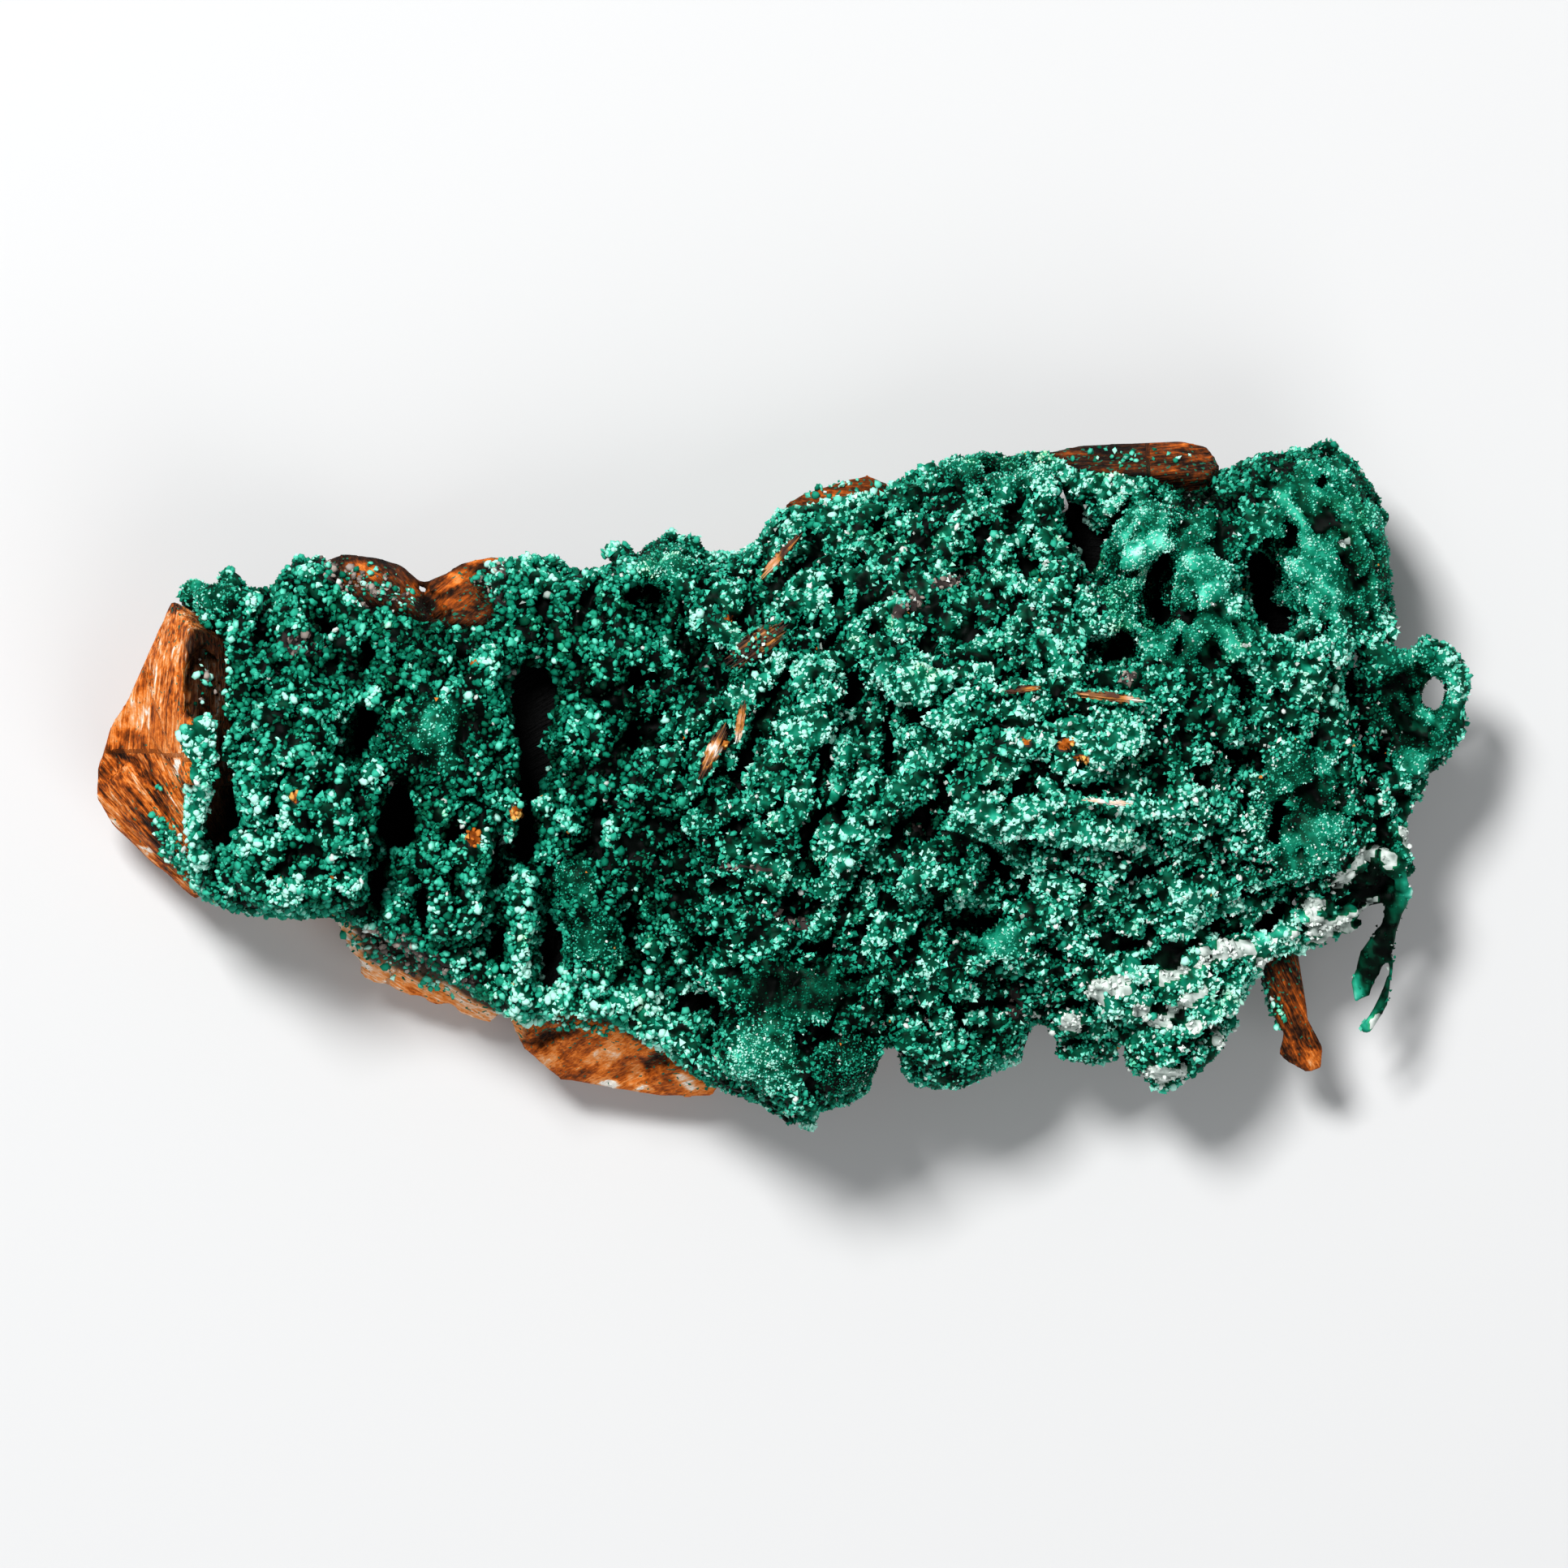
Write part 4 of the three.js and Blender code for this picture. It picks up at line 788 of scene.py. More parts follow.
ball_centres = np.array([
    (bx, by, heights_near(inside_crust, crust, bx, by, 2.0 * VOXEL).max() - BALL_DEPTH * radius)
    for bx, by, radius in WHOLE_BALLS
])
whole = np.full(values.shape, BAND * VOXEL, FLOAT)
add_balls(whole, ball_centres, [ball[2] for ball in WHOLE_BALLS])
whole[near] += 0.12 * crumbs + 0.1 * noise(places / 1.6, 52)
values = np.minimum(values, np.maximum(whole, form))
gap_floor = np.where(whole < 0.3, 0.0, gap_floor).astype(FLOAT)

# Knobs of crystals that sit side by side on the crust, longer along its grain. For each region: least
# and greatest radius, and how long a knob is for its width.
KNOB_SIZES = ((0.35, 0.8, 1.05), (0.35, 0.8, 1.6), (0.3, 0.5, 1.5), (0.3, 0.6, 1.6))
KNOBS = 13000
rng = np.random.default_rng(5)


def finished(values):
    """The field of the crust, with nothing loose left far outside its form."""
    kept = np.where(form > CRUST_SHELL[1], np.maximum(values, VOXEL), values)
    return Field(kept.astype(FLOAT), crust.corner)


base_shape = finished(values)
seeds, _ = polygons_of(base_shape)
closeness = blurred((base_shape.values < 0.0).astype(FLOAT), 3.0)
seed_open = 1.0 - base_shape.at(seeds, closeness)
chance = smooth_step(seed_open, 0.42, 0.6) * smooth_step(rock.at(seeds), 0.0, 0.4)
chance *= 1.0 - smooth_step(base_shape.at(seeds, gap_floor), 0.2, 0.6)
chance *= 1.0 - smooth_step(-base_shape.at(seeds, form), 0.9, 1.8)
chance *= 1.0 - 0.75 * smoothness(seeds[:, 0], seeds[:, 1])
picked = rng.choice(len(seeds), KNOBS, p=chance / chance.sum(), replace=False)
knob_centres = seeds[picked]
regions = np.array([weight for _, weight in grain_directions(knob_centres[:, 0], knob_centres[:, 1])])
region = regions.argmax(axis=0)
low, high, long = np.array(KNOB_SIZES)[region].T
knob_radii = low + (high - low) * rng.random(KNOBS) ** 1.6
knob_radii = np.minimum(knob_radii, 0.3 + 0.5 * np.maximum(crust.at(knob_centres, half_thickness), 0.0))
knob_turns = np.array([angle for angle, _ in grain_directions(np.zeros(1), np.zeros(1))])[region]
knob_turns = knob_turns + rng.normal(0.0, 0.3, KNOBS)
knob_tones = rng.normal(0.0, 1.0, KNOBS) * 0.6 + 0.5 * noise(knob_centres / 1.6, 76)
nearest_knob = np.full(values.shape, -1, np.int32)
gaps_between = np.full(values.shape, BAND * VOXEL, FLOAT)
add_balls(gaps_between, knob_centres, knob_radii, knob_turns, np.maximum(long, 1.0), nearest_knob)
gaps_between[near] += 0.1 * noise(places / 0.45, 77)
values = np.minimum(values, np.maximum(gaps_between, form + 0.1))
values = np.maximum(values, gap_core)


def without_islands(points, faces, least):
    """The mesh without its loose shells of fewer points than this."""
    sides = [f[:, [i, (i + 1) % f.shape[1]]] for f in faces for i in range(f.shape[1])]
    ends = np.concatenate(sides)
    labels = np.arange(len(points))
    while True:
        lower = labels.copy()
        np.minimum.at(lower, ends[:, 0], labels[ends[:, 1]])
        np.minimum.at(lower, ends[:, 1], labels[ends[:, 0]])
        lower = lower[lower]
        if (lower == labels).all():
            break
        labels = lower
    sizes = np.bincount(labels, minlength=len(points))
    kept = sizes[labels] >= least
    renumbered = np.cumsum(kept) - 1
    return points[kept], [renumbered[f[kept[f[:, 0]]]] for f in faces]


SMALLEST_ISLAND = 250  # points

crust_shape = finished(values)
points, faces = without_islands(*polygons_of(crust_shape), SMALLEST_ISLAND)

close_grid, wide_grid = (blurred((crust_shape.values < 0.0).astype(FLOAT), width) for width in (2.5, 7.0))

# Places that are paler or darker as a whole: middle, half length, half width, turn, change.
PALER = (
    (-31.5, -6.5, 5.0, 3.0, 0.3, 0.06), (-34.0, 8.0, 5.0, 5.0, 0.0, -0.1),
    (-19.0, 12.0, 9.0, 3.5, 0.0, -0.1), (-25.0, -9.0, 5.0, 4.0, -0.6, -0.08),
    (1.0, -14.0, 3.6, 1.7, 0.0, -0.22), (-1.1, -18.2, 3.0, 3.0, 0.0, 0.27),
    (4.4, -18.8, 2.4, 2.4, 0.0, -0.06), (25.5, 16.0, 3.5, 3.5, 0.0, 0.14),
    (29.0, 11.5, 2.5, 4.5, 0.3, 0.12), (35.0, 18.0, 5.0, 4.0, 0.0, 0.04),
    (40.5, 5.3, 2.8, 3.4, 0.0, -0.25), (35.5, -2.5, 3.5, 4.5, 0.2, 0.1), (14.0, 9.0, 6.0, 6.0, 0.0, 0.06),
    (40.5, -10.5, 2.5, 6.5, 0.0, -0.3), (20.0, -3.0, 9.0, 5.0, 0.0, 0.11),
    (-33.0, 3.0, 6.0, 4.0, 0.0, -0.08), (-25.0, -1.0, 3.0, 6.0, 0.0, -0.08),
    (28.0, -12.0, 9.0, 5.5, 0.3, 0.26), (-29.0, 2.0, 17.0, 16.0, 0.0, -0.13),
    (-35.0, 1.0, 7.0, 12.0, 0.0, 0.15), (-20.5, 2.0, 7.0, 13.0, 0.0, -0.02),
    (-9.0, 2.0, 7.0, 14.0, 0.0, -0.17), (12.0, 3.0, 26.0, 17.0, 0.0, 0.09),
    (27.0, 19.9, 3.2, 0.9, -0.35, -0.35), (40.5, -12.0, 2.5, 5.5, 0.0, -0.35),
    (36.0, 8.0, 6.0, 9.0, 0.0, 0.11), (-23.3, 3.2, 2.4, 2.6, 0.0, 0.26), (38.0, 9.0, 5.0, 12.0, 0.0, 0.07),
)


def shade_of_place(points):
    """How much paler or darker the crust is at points than elsewhere."""
    change = np.zeros(len(points))
    for oval in PALER:
        change += oval[5] * (1.0 - smooth_step(in_oval(*points.T[:2], oval), 0.5, 1.2))
    return change


def clusters(points):
    """Where the crust's grains crowd together: about 1 in a cluster and -1 between clusters."""
    return noise(points / 0.62, 78) + 0.4 * noise(points / 0.3, 79)


def shaded_tones(points, grain):
    """How pale the crust is, with painted light and shade: palest on what stands out, painted shade where
    it is enclosed, deep down and in gaps, each knob with a tone of its own.
    """
    cells = np.clip(np.round(points / VOXEL).astype(int) - crust.corner, 0, np.array(form.shape) - 1)
    knob = nearest_knob[tuple(cells.T)]
    own = np.where(knob >= 0, knob_tones[np.maximum(knob, 0)], -0.5)
    openness = 1.0 - crust_shape.at(points, close_grid)
    wide = 1.0 - crust_shape.at(points, wide_grid)
    depth = -crust_shape.at(points, form)
    # Painted light and shade: paler where the crust is open around a point, darker where it is enclosed.
    tone = 0.42 + 1.0 * (openness - 0.55) + 0.55 * (wide - 0.55) + 0.14 * own + grain
    tone += 0.14 * fractal_noise(points / 2.2, 74, 2) + shade_of_place(points)
    # Darker deep below the form, partly a dark coating in the pits and partly painted shade; the gap floors
    # get painted shade too.
    tone = np.clip(tone, 0.0, 1.0) * (1.0 - 0.9 * smooth_step(depth, 0.9, 2.4))
    tone *= 1.0 - 0.8 * smooth_step(crust_shape.at(points, gap_floor), 0.2, 0.7)
    return tone, openness, depth


skin = satin_at(points)
grain = (0.26 - 0.08 * skin) * clusters(points) - 0.3 + 0.06 * smoothness(*points.T[:2]) + 0.28 * skin
tone, openness, depth = shaded_tones(points, grain)

# Chalky white crust: middle, half length, half width, turn.
CHALKY = (
    (38.5, -5.6, 2.7, 0.5, 0.8), (35.8, -8.3, 1.1, 0.6, 0.1), (37.0, -9.9, 2.0, 1.1, 0.4),
    (39.3, -8.5, 1.2, 0.4, 0.7), (29.6, -11.5, 2.1, 0.9, 0.35), (26.0, -12.9, 1.5, 0.6, 0.4),
    (21.0, -13.9, 0.9, 1.0, 0.0), (22.7, -13.8, 0.9, 1.0, 0.4), (19.3, -16.1, 0.8, 0.6, 0.3),
    (24.0, -15.3, 0.7, 0.5, 0.0), (26.7, -15.0, 2.0, 0.9, 0.6), (25.8, -19.7, 1.3, 1.0, 0.0),
    (29.2, -17.3, 0.5, 0.7, 0.0), (32.3, -12.2, 0.6, 0.7, 0.0), (27.7, -16.3, 0.7, 0.5, 0.0),
    (42.1, -3.9, 0.4, 0.9, 0.6), (40.9, -5.2, 0.5, 0.8, 0.6), (37.8, 16.0, 0.4, 0.3, 0.0),
    (40.5, 9.4, 0.3, 0.3, 0.0), (40.5, 3.3, 0.35, 0.3, 0.0), (37.3, -1.3, 0.4, 0.3, 0.0),
    (30.9, 9.1, 0.35, 0.3, 0.0), (28.7, 11.9, 0.3, 0.3, 0.0), (40.0, -16.2, 0.3, 0.6, -0.3),
    (17.0, -15.6, 0.3, 0.3, 0.0),
)
# Spots of ochre and of bare rock, in the same way.
OCHRE_SPOTS = (
    (-32.6, -1.0, 0.4, 0.5, 0.0), (-20.7, -3.8, 0.45, 0.55, 0.0), (-17.9, -2.0, 0.35, 0.35, 0.0),
    (-3.6, 11.0, 0.3, 0.3, 0.0), (18.8, 2.5, 0.7, 0.35, 0.5), (16.2, 2.7, 0.4, 0.3, 0.0),
    (19.9, 1.6, 0.6, 0.25, -0.3), (-3.9, 2.5, 0.5, 0.4, 0.6),
)
BARE_SPOTS = (
    (8.5, 12.2, 1.5, 1.0, 0.4), (11.0, 13.4, 1.2, 0.5, 0.4), (9.2, -2.5, 0.7, 1.3, 0.0),
    (0.6, -9.1, 1.9, 0.5, -0.2), (-2.4, -5.7, 2.8, 0.35, -0.05), (-32.0, 9.3, 1.5, 0.8, -0.3),
    (-38.8, 7.3, 0.9, 2.8, 0.0), (15.8, -15.0, 0.6, 1.2, 0.0), (-25.8, -11.2, 4.4, 1.3, -0.4),
    (23.0, 6.9, 0.6, 0.4, 0.6), (-28.2, 13.6, 3.6, 1.8, -0.3), (-21.5, 13.0, 2.8, 1.8, 0.0),
)


def kinds(points):
    """The place of points across the palette."""
    broken = noise(points / 1.3, 91)
    chalky, bare, ochre = (1.0 - nearest_oval(*points.T[:2], o) for o in (CHALKY, BARE_SPOTS, OCHRE_SPOTS))
    kind = GREEN + 0.1 * noise(points / 4.0, 92) + 0.07 * noise(points / 1.1, 93)
    kind = np.where(chalky + 0.9 * broken > 0.15, CHALK, kind)
    kind = np.where(bare + 0.8 * broken > 0.2, BARE, kind)
    return np.where(ochre + 0.3 * broken > 0.0, OCHRE, kind)


kind = kinds(points)
chalk_tone = np.clip(0.5 + 0.6 * fractal_noise(points / 0.6, 75, 2), 0.0, 1.0)
# Painted shade: the chalk is darker deeper below the form.
chalk_tone *= 1.0 - 0.8 * smooth_step(depth, 0.5, 2.0)
tone = np.where(kind == CHALK, chalk_tone, tone)


def palette_values(nodes):
    """A piece's places along and across its palette, as its material reads them."""
    place = nodes.node("ShaderNodeUVMap", {"uv_map": "OFBake"})
    return [nodes.node("ShaderNodeSeparateXYZ", {}, {"Vector": place}, out=i) for i in range(2)]


crust_material, nodes = new_material("malachite")
tone_value, kind_value = palette_values(nodes)
green = nodes.ramp(
    tone_value,
    (0.0, (0.0002, 0.0008, 0.0005)),
    (0.2, (0.0004, 0.006, 0.003)),
    (0.42, (0.001, 0.06, 0.03)),
    (0.62, (0.004, 0.19, 0.11)),
    (0.82, (0.03, 0.43, 0.28)),
    (0.93, (0.15, 0.7, 0.52)),
    (1.0, (0.5, 0.88, 0.76)),
)
yellowish = nodes.mix(1.0, green, (1.3, 1.0, 0.72, 1.0), "MULTIPLY")
green = nodes.mix(nodes.step(kind_value, 0.58, 0.72), green, yellowish)
BARE_STOPS = (0.0, (0.006, 0.005, 0.005)), (0.5, (0.05, 0.038, 0.035)), (1.0, (0.4, 0.33, 0.29))
OCHRE_STOPS = (0.0, (0.08, 0.015, 0.002)), (0.5, (0.5, 0.12, 0.012)), (1.0, (0.8, 0.42, 0.1))
CHALK_STOPS = (0.0, (0.02, 0.03, 0.027)), (0.4, (0.35, 0.42, 0.38)), (1.0, (0.82, 0.88, 0.83))
bare, ochre, chalk = (nodes.ramp(tone_value, *stops) for stops in (BARE_STOPS, OCHRE_STOPS, CHALK_STOPS))
colour = nodes.mix(nodes.step(kind_value, 0.19, 0.21), ochre, bare)
colour = nodes.mix(nodes.step(kind_value, 0.39, 0.41), colour, green)
colour = nodes.mix(nodes.step(kind_value, 0.79, 0.81), colour, chalk)
nodes.feed(Base_Color=colour, Roughness=0.5, Specular_IOR_Level=0.03)
middles = [points[f].mean(axis=1) for f in faces]
PIECES = 4
cuts = np.quantile(np.concatenate([m[:, 0] for m in middles]), np.linspace(0, 1, PIECES + 1))
cuts[0] -= 1.0
palette = np.stack([tone, kind], axis=1)
for i in range(PIECES):
    picked = [f[(m[:, 0] > cuts[i]) & (m[:, 0] <= cuts[i + 1])] for f, m in zip(faces, middles)]
    used, order = np.unique(np.concatenate([f.ravel() for f in picked]), return_inverse=True)
    renumbered, start = [], 0
    for f in picked:
        renumbered.append(order[start : start + f.size].reshape(f.shape))
        start += f.size
    new_piece(
        f"malachite_crust_{i + 1}", points[used], renumbered, crust_material, "malachite_crust",
        palette=palette[used],
    )

# ---------------------------------------------------------------- barite blades
# Splinters of barite that lie in the crust. Each is a bundle of thin laths, split along its length and
# stained brown between pale edges.

LATH_WIDTH, LATH_SEGMENTS = 0.16, 12
# Each blade: how far its laths differ, how much of the solid's width it shows, how deep it is sunk into
# the crust, and its tones at places along it from -1 to 1.
BLADES = {
    "upper": (
        0.12, 0.6, 0.25,
        ((-1.0, 0.4), (-0.6, 0.72), (-0.2, 0.66), (0.15, 0.12), (0.45, 0.36), (1.0, 0.25)),
    ),
    "lens": (0.3, 1.0, 0.4, ((-1.0, 0.05), (-0.4, 0.15), (0.2, 0.3), (0.5, 0.4), (1.0, 0.2))),
    "left": (
        0.12, 0.85, 0.3,
        ((-1.0, 0.1), (-0.6, 0.25), (-0.4, 0.55), (-0.15, 0.58), (0.0, 1.0), (0.25, 1.0), (0.4, 0.35),
         (1.0, 0.25)),
    ),
    "left_thin": (0.16, 0.7, 0.3, ((-1.0, 0.95), (-0.6, 0.85), (-0.3, 0.5), (0.3, 0.6), (1.0, 0.25))),
    "right": (0.1, 0.6, 0.2, ((-1.0, 0.4), (-0.5, 0.5), (0.0, 0.38), (0.3, 0.32), (0.6, 0.85), (1.0, 0.8))),
    "middle": (0.15, 0.6, 0.3, ((-1.0, 0.05), (-0.2, 0.15), (0.4, 0.45), (1.0, 0.3))),
    "white": (0.1, 0.5, 0.15, ((-1.0, 0.9), (0.0, 1.0), (1.0, 0.9))),
}
RIM_GRAINS, LENS_GRAINS = 14, 40  # to a millimetre of blade, and on the lens in all


def blade_material(name):
    """Barite along a palette from dark stain to clean white."""
    material, nodes = new_material(name)
    colour = nodes.ramp(
        palette_values(nodes)[0],
        (0.0, (0.012, 0.006, 0.004)),
        (0.3, (0.09, 0.03, 0.012)),
        (0.5, (0.46, 0.17, 0.025)),
        (0.68, (0.56, 0.28, 0.14)),
        (0.85, (0.7, 0.5, 0.37)),
        (1.0, (0.85, 0.82, 0.78)),
    )
    nodes.feed(Base_Color=colour, Roughness=0.5, Specular_IOR_Level=0.2)
    return material


# One lath: a square bar, cut into rings along its length.
bm = bmesh.new()
bmesh.ops.create_cube(bm, size=2.0)
long_edges = [e for e in bm.edges if abs(e.verts[0].co.x - e.verts[1].co.x) > 1.0]
bmesh.ops.subdivide_edges(bm, edges=long_edges, cuts=LATH_SEGMENTS - 1, use_grid_fill=True)
lath_corners, lath_faces = arrays_of(bm)
ring = np.rint((lath_corners[:, 0] + 1.0) / 2.0 * LATH_SEGMENTS).astype(int)
across, up = np.sign(lath_corners[:, 1]), np.sign(lath_corners[:, 2])
along_lath = 2.0 * np.arange(LATH_SEGMENTS + 1) / LATH_SEGMENTS - 1.0
# A ring's share of the lath's width, its rise and its change of tone: least and greatest.
RING_LEAST, RING_GREATEST = (0.4, -1.0, -0.07), (0.7, 1.0, 0.07)

blade_materials = {slot: blade_material(slot) for slot in ("blade_barite", "pale_barite")}
blade_rims = []
for blade, (spread, shown, sunk, blade_tones) in BLADES.items():
    node = f"barite_blade_{blade}"
    slot_name = "pale_barite" if blade == "white" else "blade_barite"
    solid_points = np.array([v.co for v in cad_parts[node].data.vertices]) / MM
    centre = (solid_points.max(axis=0) + solid_points.min(axis=0)) / 2 - (0.0, 0.0, sunk)
    _, _, axes = np.linalg.svd(solid_points - centre, full_matrices=False)
    axes[0] *= np.sign(axes[0][0])
    axes[1] = np.cross((0.0, 0.0, 1.0), axes[0])
    axes[1] /= np.linalg.norm(axes[1])
    axes[2] = np.cross(axes[0], axes[1])
    half = np.abs((solid_points - centre) @ axes.T).max(axis=0) * (1.0, shown, 1.0)
    # Places for grains around the blade, and on the lens.
    t = rng.uniform(-1.05, 1.05, round(2 * half[0] * RIM_GRAINS))
    side = np.sign(rng.normal(size=len(t))) * np.sqrt(np.clip(1.05 - t * t, 0.0, 1.0))
    side = side * rng.uniform(0.85, 1.3, len(t))
    heights = half[2] * rng.uniform(-0.4, 0.4, len(t))
    blade_rims.append(centre + np.stack([t * half[0], side * half[1], heights], axis=1) @ axes)
    if blade == "lens":
        t, side = rng.uniform(-0.8, 0.8, LENS_GRAINS), rng.uniform(-0.7, 0.7, LENS_GRAINS)
        heights = np.full(LENS_GRAINS, 0.6 * half[2])
        blade_rims.append(centre + np.stack([t * half[0], side * half[1], heights], axis=1) @ axes)
    # The laths, side by side.
    laths = max(5, round(2 * half[1] / (0.6 * LATH_WIDTH)))
    blade_points, blade_palette = [], []
    for lath in range(laths):
        side = 2 * (lath + 0.5) / laths - 1.0
        reach = half[0] * math.sqrt(1.0 - 0.85 * side**2) * rng.uniform(0.8, 1.0)
        slip = rng.uniform(-0.1, 0.1) * half[0]
        lean = rng.uniform(-0.03, 0.03)
        rise = (0.7 * (1.0 - side**2) - 0.4 + rng.uniform(-0.15, 0.15)) * half[2]
        lath_tone = rng.uniform(-spread, spread) - 0.22 * side**4
        shares, rises, changes = rng.uniform(RING_LEAST, RING_GREATEST, (LATH_SEGMENTS + 1, 3)).T
        width = (LATH_WIDTH * shares * (1.0 - 0.8 * along_lath**2))[ring]
        along = np.clip(slip + along_lath * reach, -half[0], half[0])
        middle = centre + np.outer(along, axes[0]) + np.outer(side * half[1] * 0.85 + lean * along, axes[1])
        middle = middle + np.outer(rise + 0.06 * half[2] * rises, axes[2])
        tone_here = np.interp(along_lath, *zip(*blade_tones)) + lath_tone + changes
        sideways, upwards = np.outer(across * width, axes[1]), np.outer(1.2 * up * width, axes[2])
        blade_points.append(middle[ring] + sideways + upwards)
        blade_palette.append(np.stack([np.clip(tone_here, 0.01, 0.99)[ring], 0.5 + 0.1 * across], axis=1))
    blade_faces = np.concatenate([lath_faces + lath * len(lath_corners) for lath in range(laths)])
    new_piece(
        f"{node}_splinters", np.concatenate(blade_points), [blade_faces], blade_materials[slot_name], node,
        smooth=False, palette=np.concatenate(blade_palette),
    )
blade_rims = np.concatenate(blade_rims)

# ---------------------------------------------------------------- malachite grains
# The grains that the crust grew from: small crystals and beads, thickest on what stands out.

BEADS, CHIPS, SHARDS = 18000, 44000, 50000
LOOSE_TONES = (0.62, 0.18)  # of grains on bare rock: their mean, and how much they differ
# Shares of white grains everywhere, more of them on the right and at the lower right, and of ochre ones.
WHITE_SHARE, WHITE_ON_RIGHT, WHITE_AT_LOWER_RIGHT, OCHRE_SHARE = 0.006, 0.014, 0.05, 0.0006

# Spots where single grains sit on the bare rock: middle, half length, half width, turn, grains.
SPECKLED = (
    (-41.1, -4.3, 2.3, 0.8, -1.1, 260), (-27.5, 13.2, 3.0, 1.3, -0.4, 300),
    (-19.4, 13.6, 1.6, 1.0, 0.0, 160), (-26.3, -11.6, 4.8, 1.2, -0.5, 200),
    (-38.9, 6.6, 0.7, 2.8, 0.0, 40), (3.5, 19.8, 3.0, 0.6, 0.0, 50), (23.0, 22.0, 4.0, 0.6, 0.0, 80),
    (-13.0, -16.4, 3.0, 0.6, -0.1, 60), (-42.0, -0.4, 0.4, 0.3, 0.0, 8), (33.2, -15.0, 0.6, 2.2, 0.5, 60),
)
SPECKLES_ABOVE = 2.0  # the saw cut
speckles = []
for spot in SPECKLED:
    inside = in_oval(*rock_points.T[:2], spot) < rng.uniform(0.3, 1.2, len(rock_points))
    inside = np.flatnonzero(inside & (rock_points[:, 2] > SPECKLES_ABOVE))
    speckles.append(rock_points[rng.choice(inside, spot[5])] + rng.normal(0.0, 0.1, (spot[5], 3)))
speckles = np.concatenate(speckles)

halves = [f[:, [0, 1, 2]] for f in faces] + [f[:, [0, 2, 3]] for f in faces if f.shape[1] == 4]
corners = np.concatenate(halves)
a, b, c = points[corners[:, 0]], points[corners[:, 1]], points[corners[:, 2]]
normals = np.cross(b - a, c - a)
areas = 0.5 * np.linalg.norm(normals, axis=1)
normals /= np.maximum(np.linalg.norm(normals, axis=1), 1e-9)[:, None]
face_middles = (a + b + c) / 3

# How likely a grain is on each face: likely in the open and on knobs, rare on satin, on chalk and in gaps.
face_open = openness[corners].mean(axis=1)
face_rock = rock.at(face_middles)
face_bare = (kind[corners] == CHALK).any(axis=1)
weights = areas * smooth_step(face_open, 0.4, 0.55) * smooth_step(face_rock, 0.0, 0.25)
weights *= 0.25 + 0.75 * smooth_step(normals[:, 2], -0.6, 0.3)
face_smooth = smoothness(face_middles[:, 0], face_middles[:, 1])
crowded = np.maximum(smooth_step(clusters(face_middles), -0.35, 0.1), 0.6 * face_smooth)
weights *= (1.0 - 0.5 * face_bare) * (0.08 + 0.92 * crowded) * (1.0 - satin_at(face_middles))
weights *= 1.0 - 0.9 * smooth_step(crust_shape.at(face_middles, gap_floor), 0.15, 0.5)
left_part = 1.0 - smooth_step(face_middles[:, 0], -14.0, -4.0)
bead_weights = weights * (0.1 + left_part) * (1.0 - 0.6 * face_smooth)
crystal_weights = weights * (1.0 - 0.4 * left_part) * (1.0 + 1.4 * face_smooth)


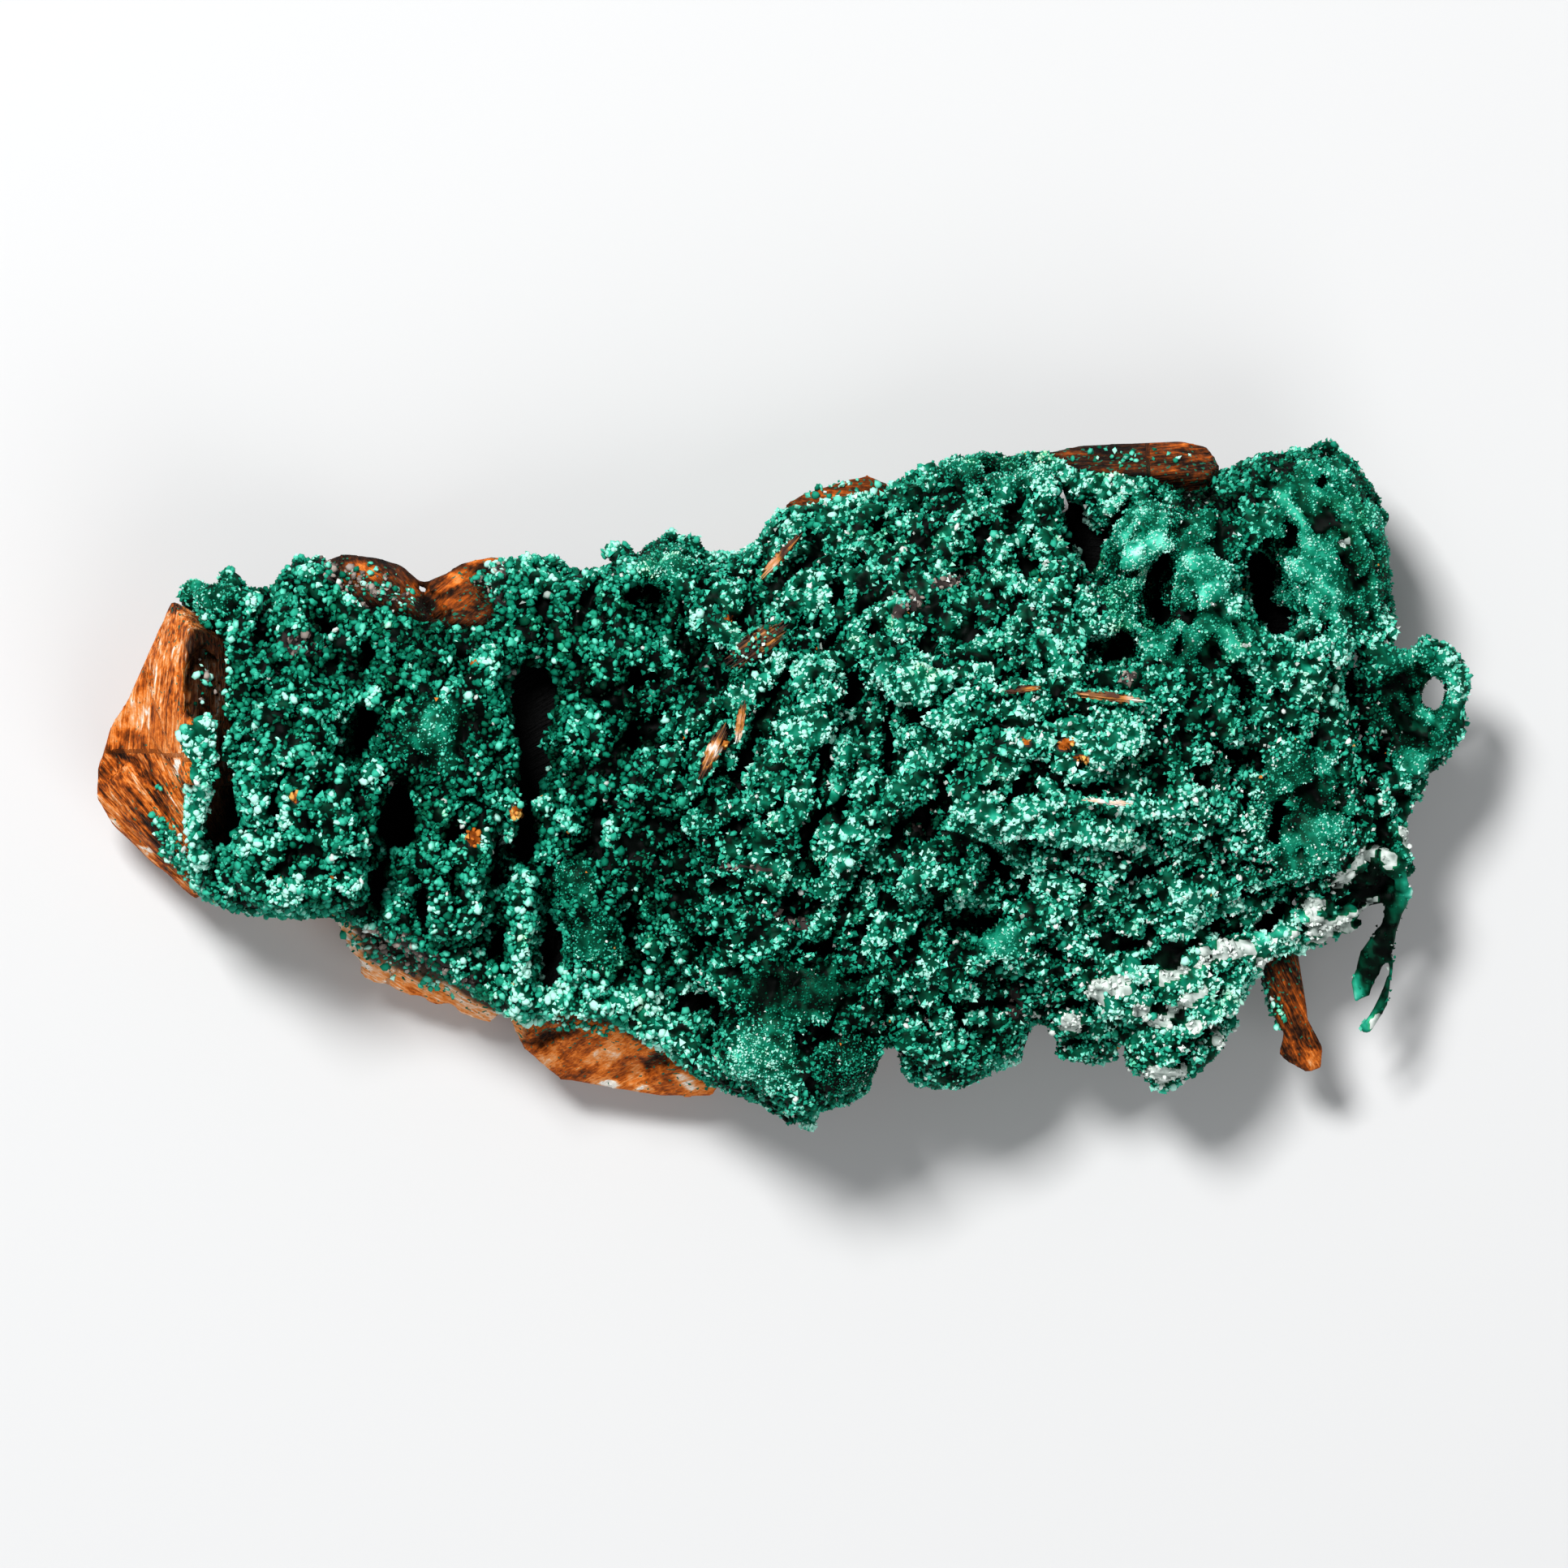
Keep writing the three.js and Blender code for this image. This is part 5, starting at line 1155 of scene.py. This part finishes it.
def scatter(count, template, template_faces, weights, sizes, name, smooth, more=np.zeros((0, 3))):
    """Two pieces of small solids on the crust and at more places, each turned and stretched its own way."""
    chosen = rng.choice(len(weights), count, p=weights / weights.sum())
    u, v = rng.random(count), rng.random(count)
    over = u + v > 1.0
    u[over], v[over] = 1.0 - u[over], 1.0 - v[over]
    seats = a[chosen] + u[:, None] * (b - a)[chosen] + v[:, None] * (c - a)[chosen]
    seats = np.concatenate([seats, more])
    facing = np.concatenate([normals[chosen], more * 0.0 + (0.0, 0.0, 1.0)])
    count = len(seats)
    px, py = seats[:, 0], seats[:, 1]
    low, high = sizes
    size = (low + (high - low) * rng.random(count) ** 1.5) * (1.0 - 0.5 * smoothness(px, py))
    turns = rng.normal(size=(count, 4))
    turns /= np.linalg.norm(turns, axis=1)[:, None]
    w, i, j, k = turns.T
    matrices = np.stack([
        1 - 2 * (j * j + k * k), 2 * (i * j - k * w), 2 * (i * k + j * w),
        2 * (i * j + k * w), 1 - 2 * (i * i + k * k), 2 * (j * k - i * w),
        2 * (i * k - j * w), 2 * (j * k + i * w), 1 - 2 * (i * i + j * j),
    ], axis=1).reshape(count, 3, 3)
    stretch = rng.uniform(0.5, 1.35, (count, 1, 3)) * rng.uniform(0.75, 1.2, (count, len(template), 1))
    local = np.einsum("nij,nvj->nvi", matrices, template[None] * stretch) * (0.5 * size)[:, None, None]
    centres = seats + facing * (0.15 * size + 0.16 * np.clip(clusters(seats), 0.0, 1.0))[:, None]
    all_points = (centres[:, None, :] + local).reshape(-1, 3)
    even = 1.0 - 0.9 * satin_at(seats)
    # The grains take the crust's tones, with their painted light and shade.
    base, openness_here, _ = shaded_tones(seats, even * (0.24 * clusters(seats) + rng.normal(0.02, 0.12, count)))
    base[count - len(more):] = rng.normal(*LOOSE_TONES, len(more))
    # Painted light: grains facing up are paler, and each grain is painted paler towards its top as a
    # highlight.
    base += 0.1 * facing[:, 2]
    highlight_height = local[:, :, 2] / size[:, None]
    grain_tones = np.clip(base[:, None] + 0.2 * highlight_height, 0.01, 0.99).ravel()
    grain_kind = kinds(seats)
    grain_kind = np.where((grain_kind == BARE) & (rng.random(count) < 0.5), GREEN, grain_kind)
    whites = WHITE_SHARE + WHITE_ON_RIGHT * smooth_step(px, -10.0, 5.0)
    whites = whites + WHITE_AT_LOWER_RIGHT * smooth_step(px, 12.0, 20.0) * (1.0 - smooth_step(py, 0.0, 6.0))
    grain_kind = np.where((rng.random(count) < whites) & (openness_here > 0.5), CHALK, grain_kind)
    grain_kind = np.where(rng.random(count) < OCHRE_SHARE, OCHRE, grain_kind)
    corner_kinds = (grain_kind[:, None] + 0.01 * template[None, :, 0]).ravel()
    palette = np.stack([grain_tones, corner_kinds], axis=1)
    for part, chunk in enumerate(np.array_split(np.argsort(px), 2)):
        vertices = (chunk[:, None] * len(template) + np.arange(len(template))).ravel()
        firsts = np.arange(len(chunk))[:, None, None] * len(template)
        new_piece(
            f"{name}_{part + 1}", all_points[vertices], [(firsts + template_faces).reshape(-1, 3)],
            crust_material, "malachite_crust", smooth=smooth, palette=palette[vertices],
        )


def grain_shape(create, **sizes):
    """The corners and the triangles of one grain."""
    bm = bmesh.new()
    create(bm, **sizes)
    return arrays_of(bm)


bead = grain_shape(bmesh.ops.create_icosphere, subdivisions=1, radius=1.0)
chip = grain_shape(bmesh.ops.create_uvsphere, u_segments=4, v_segments=2, radius=1.0)
shard = grain_shape(
    bmesh.ops.create_cone, cap_ends=True, segments=3, radius1=1.09, radius2=0.0, depth=1.54
)
rims_and_speckles = np.concatenate([blade_rims, speckles[1::2]])
scatter(BEADS, *bead, bead_weights, (0.28, 0.62), "malachite_beads", True, speckles[::2])
scatter(CHIPS, *chip, crystal_weights, (0.22, 0.46), "malachite_chips", False, rims_and_speckles)
scatter(SHARDS, *shard, crystal_weights, (0.22, 0.48), "malachite_shards", False)
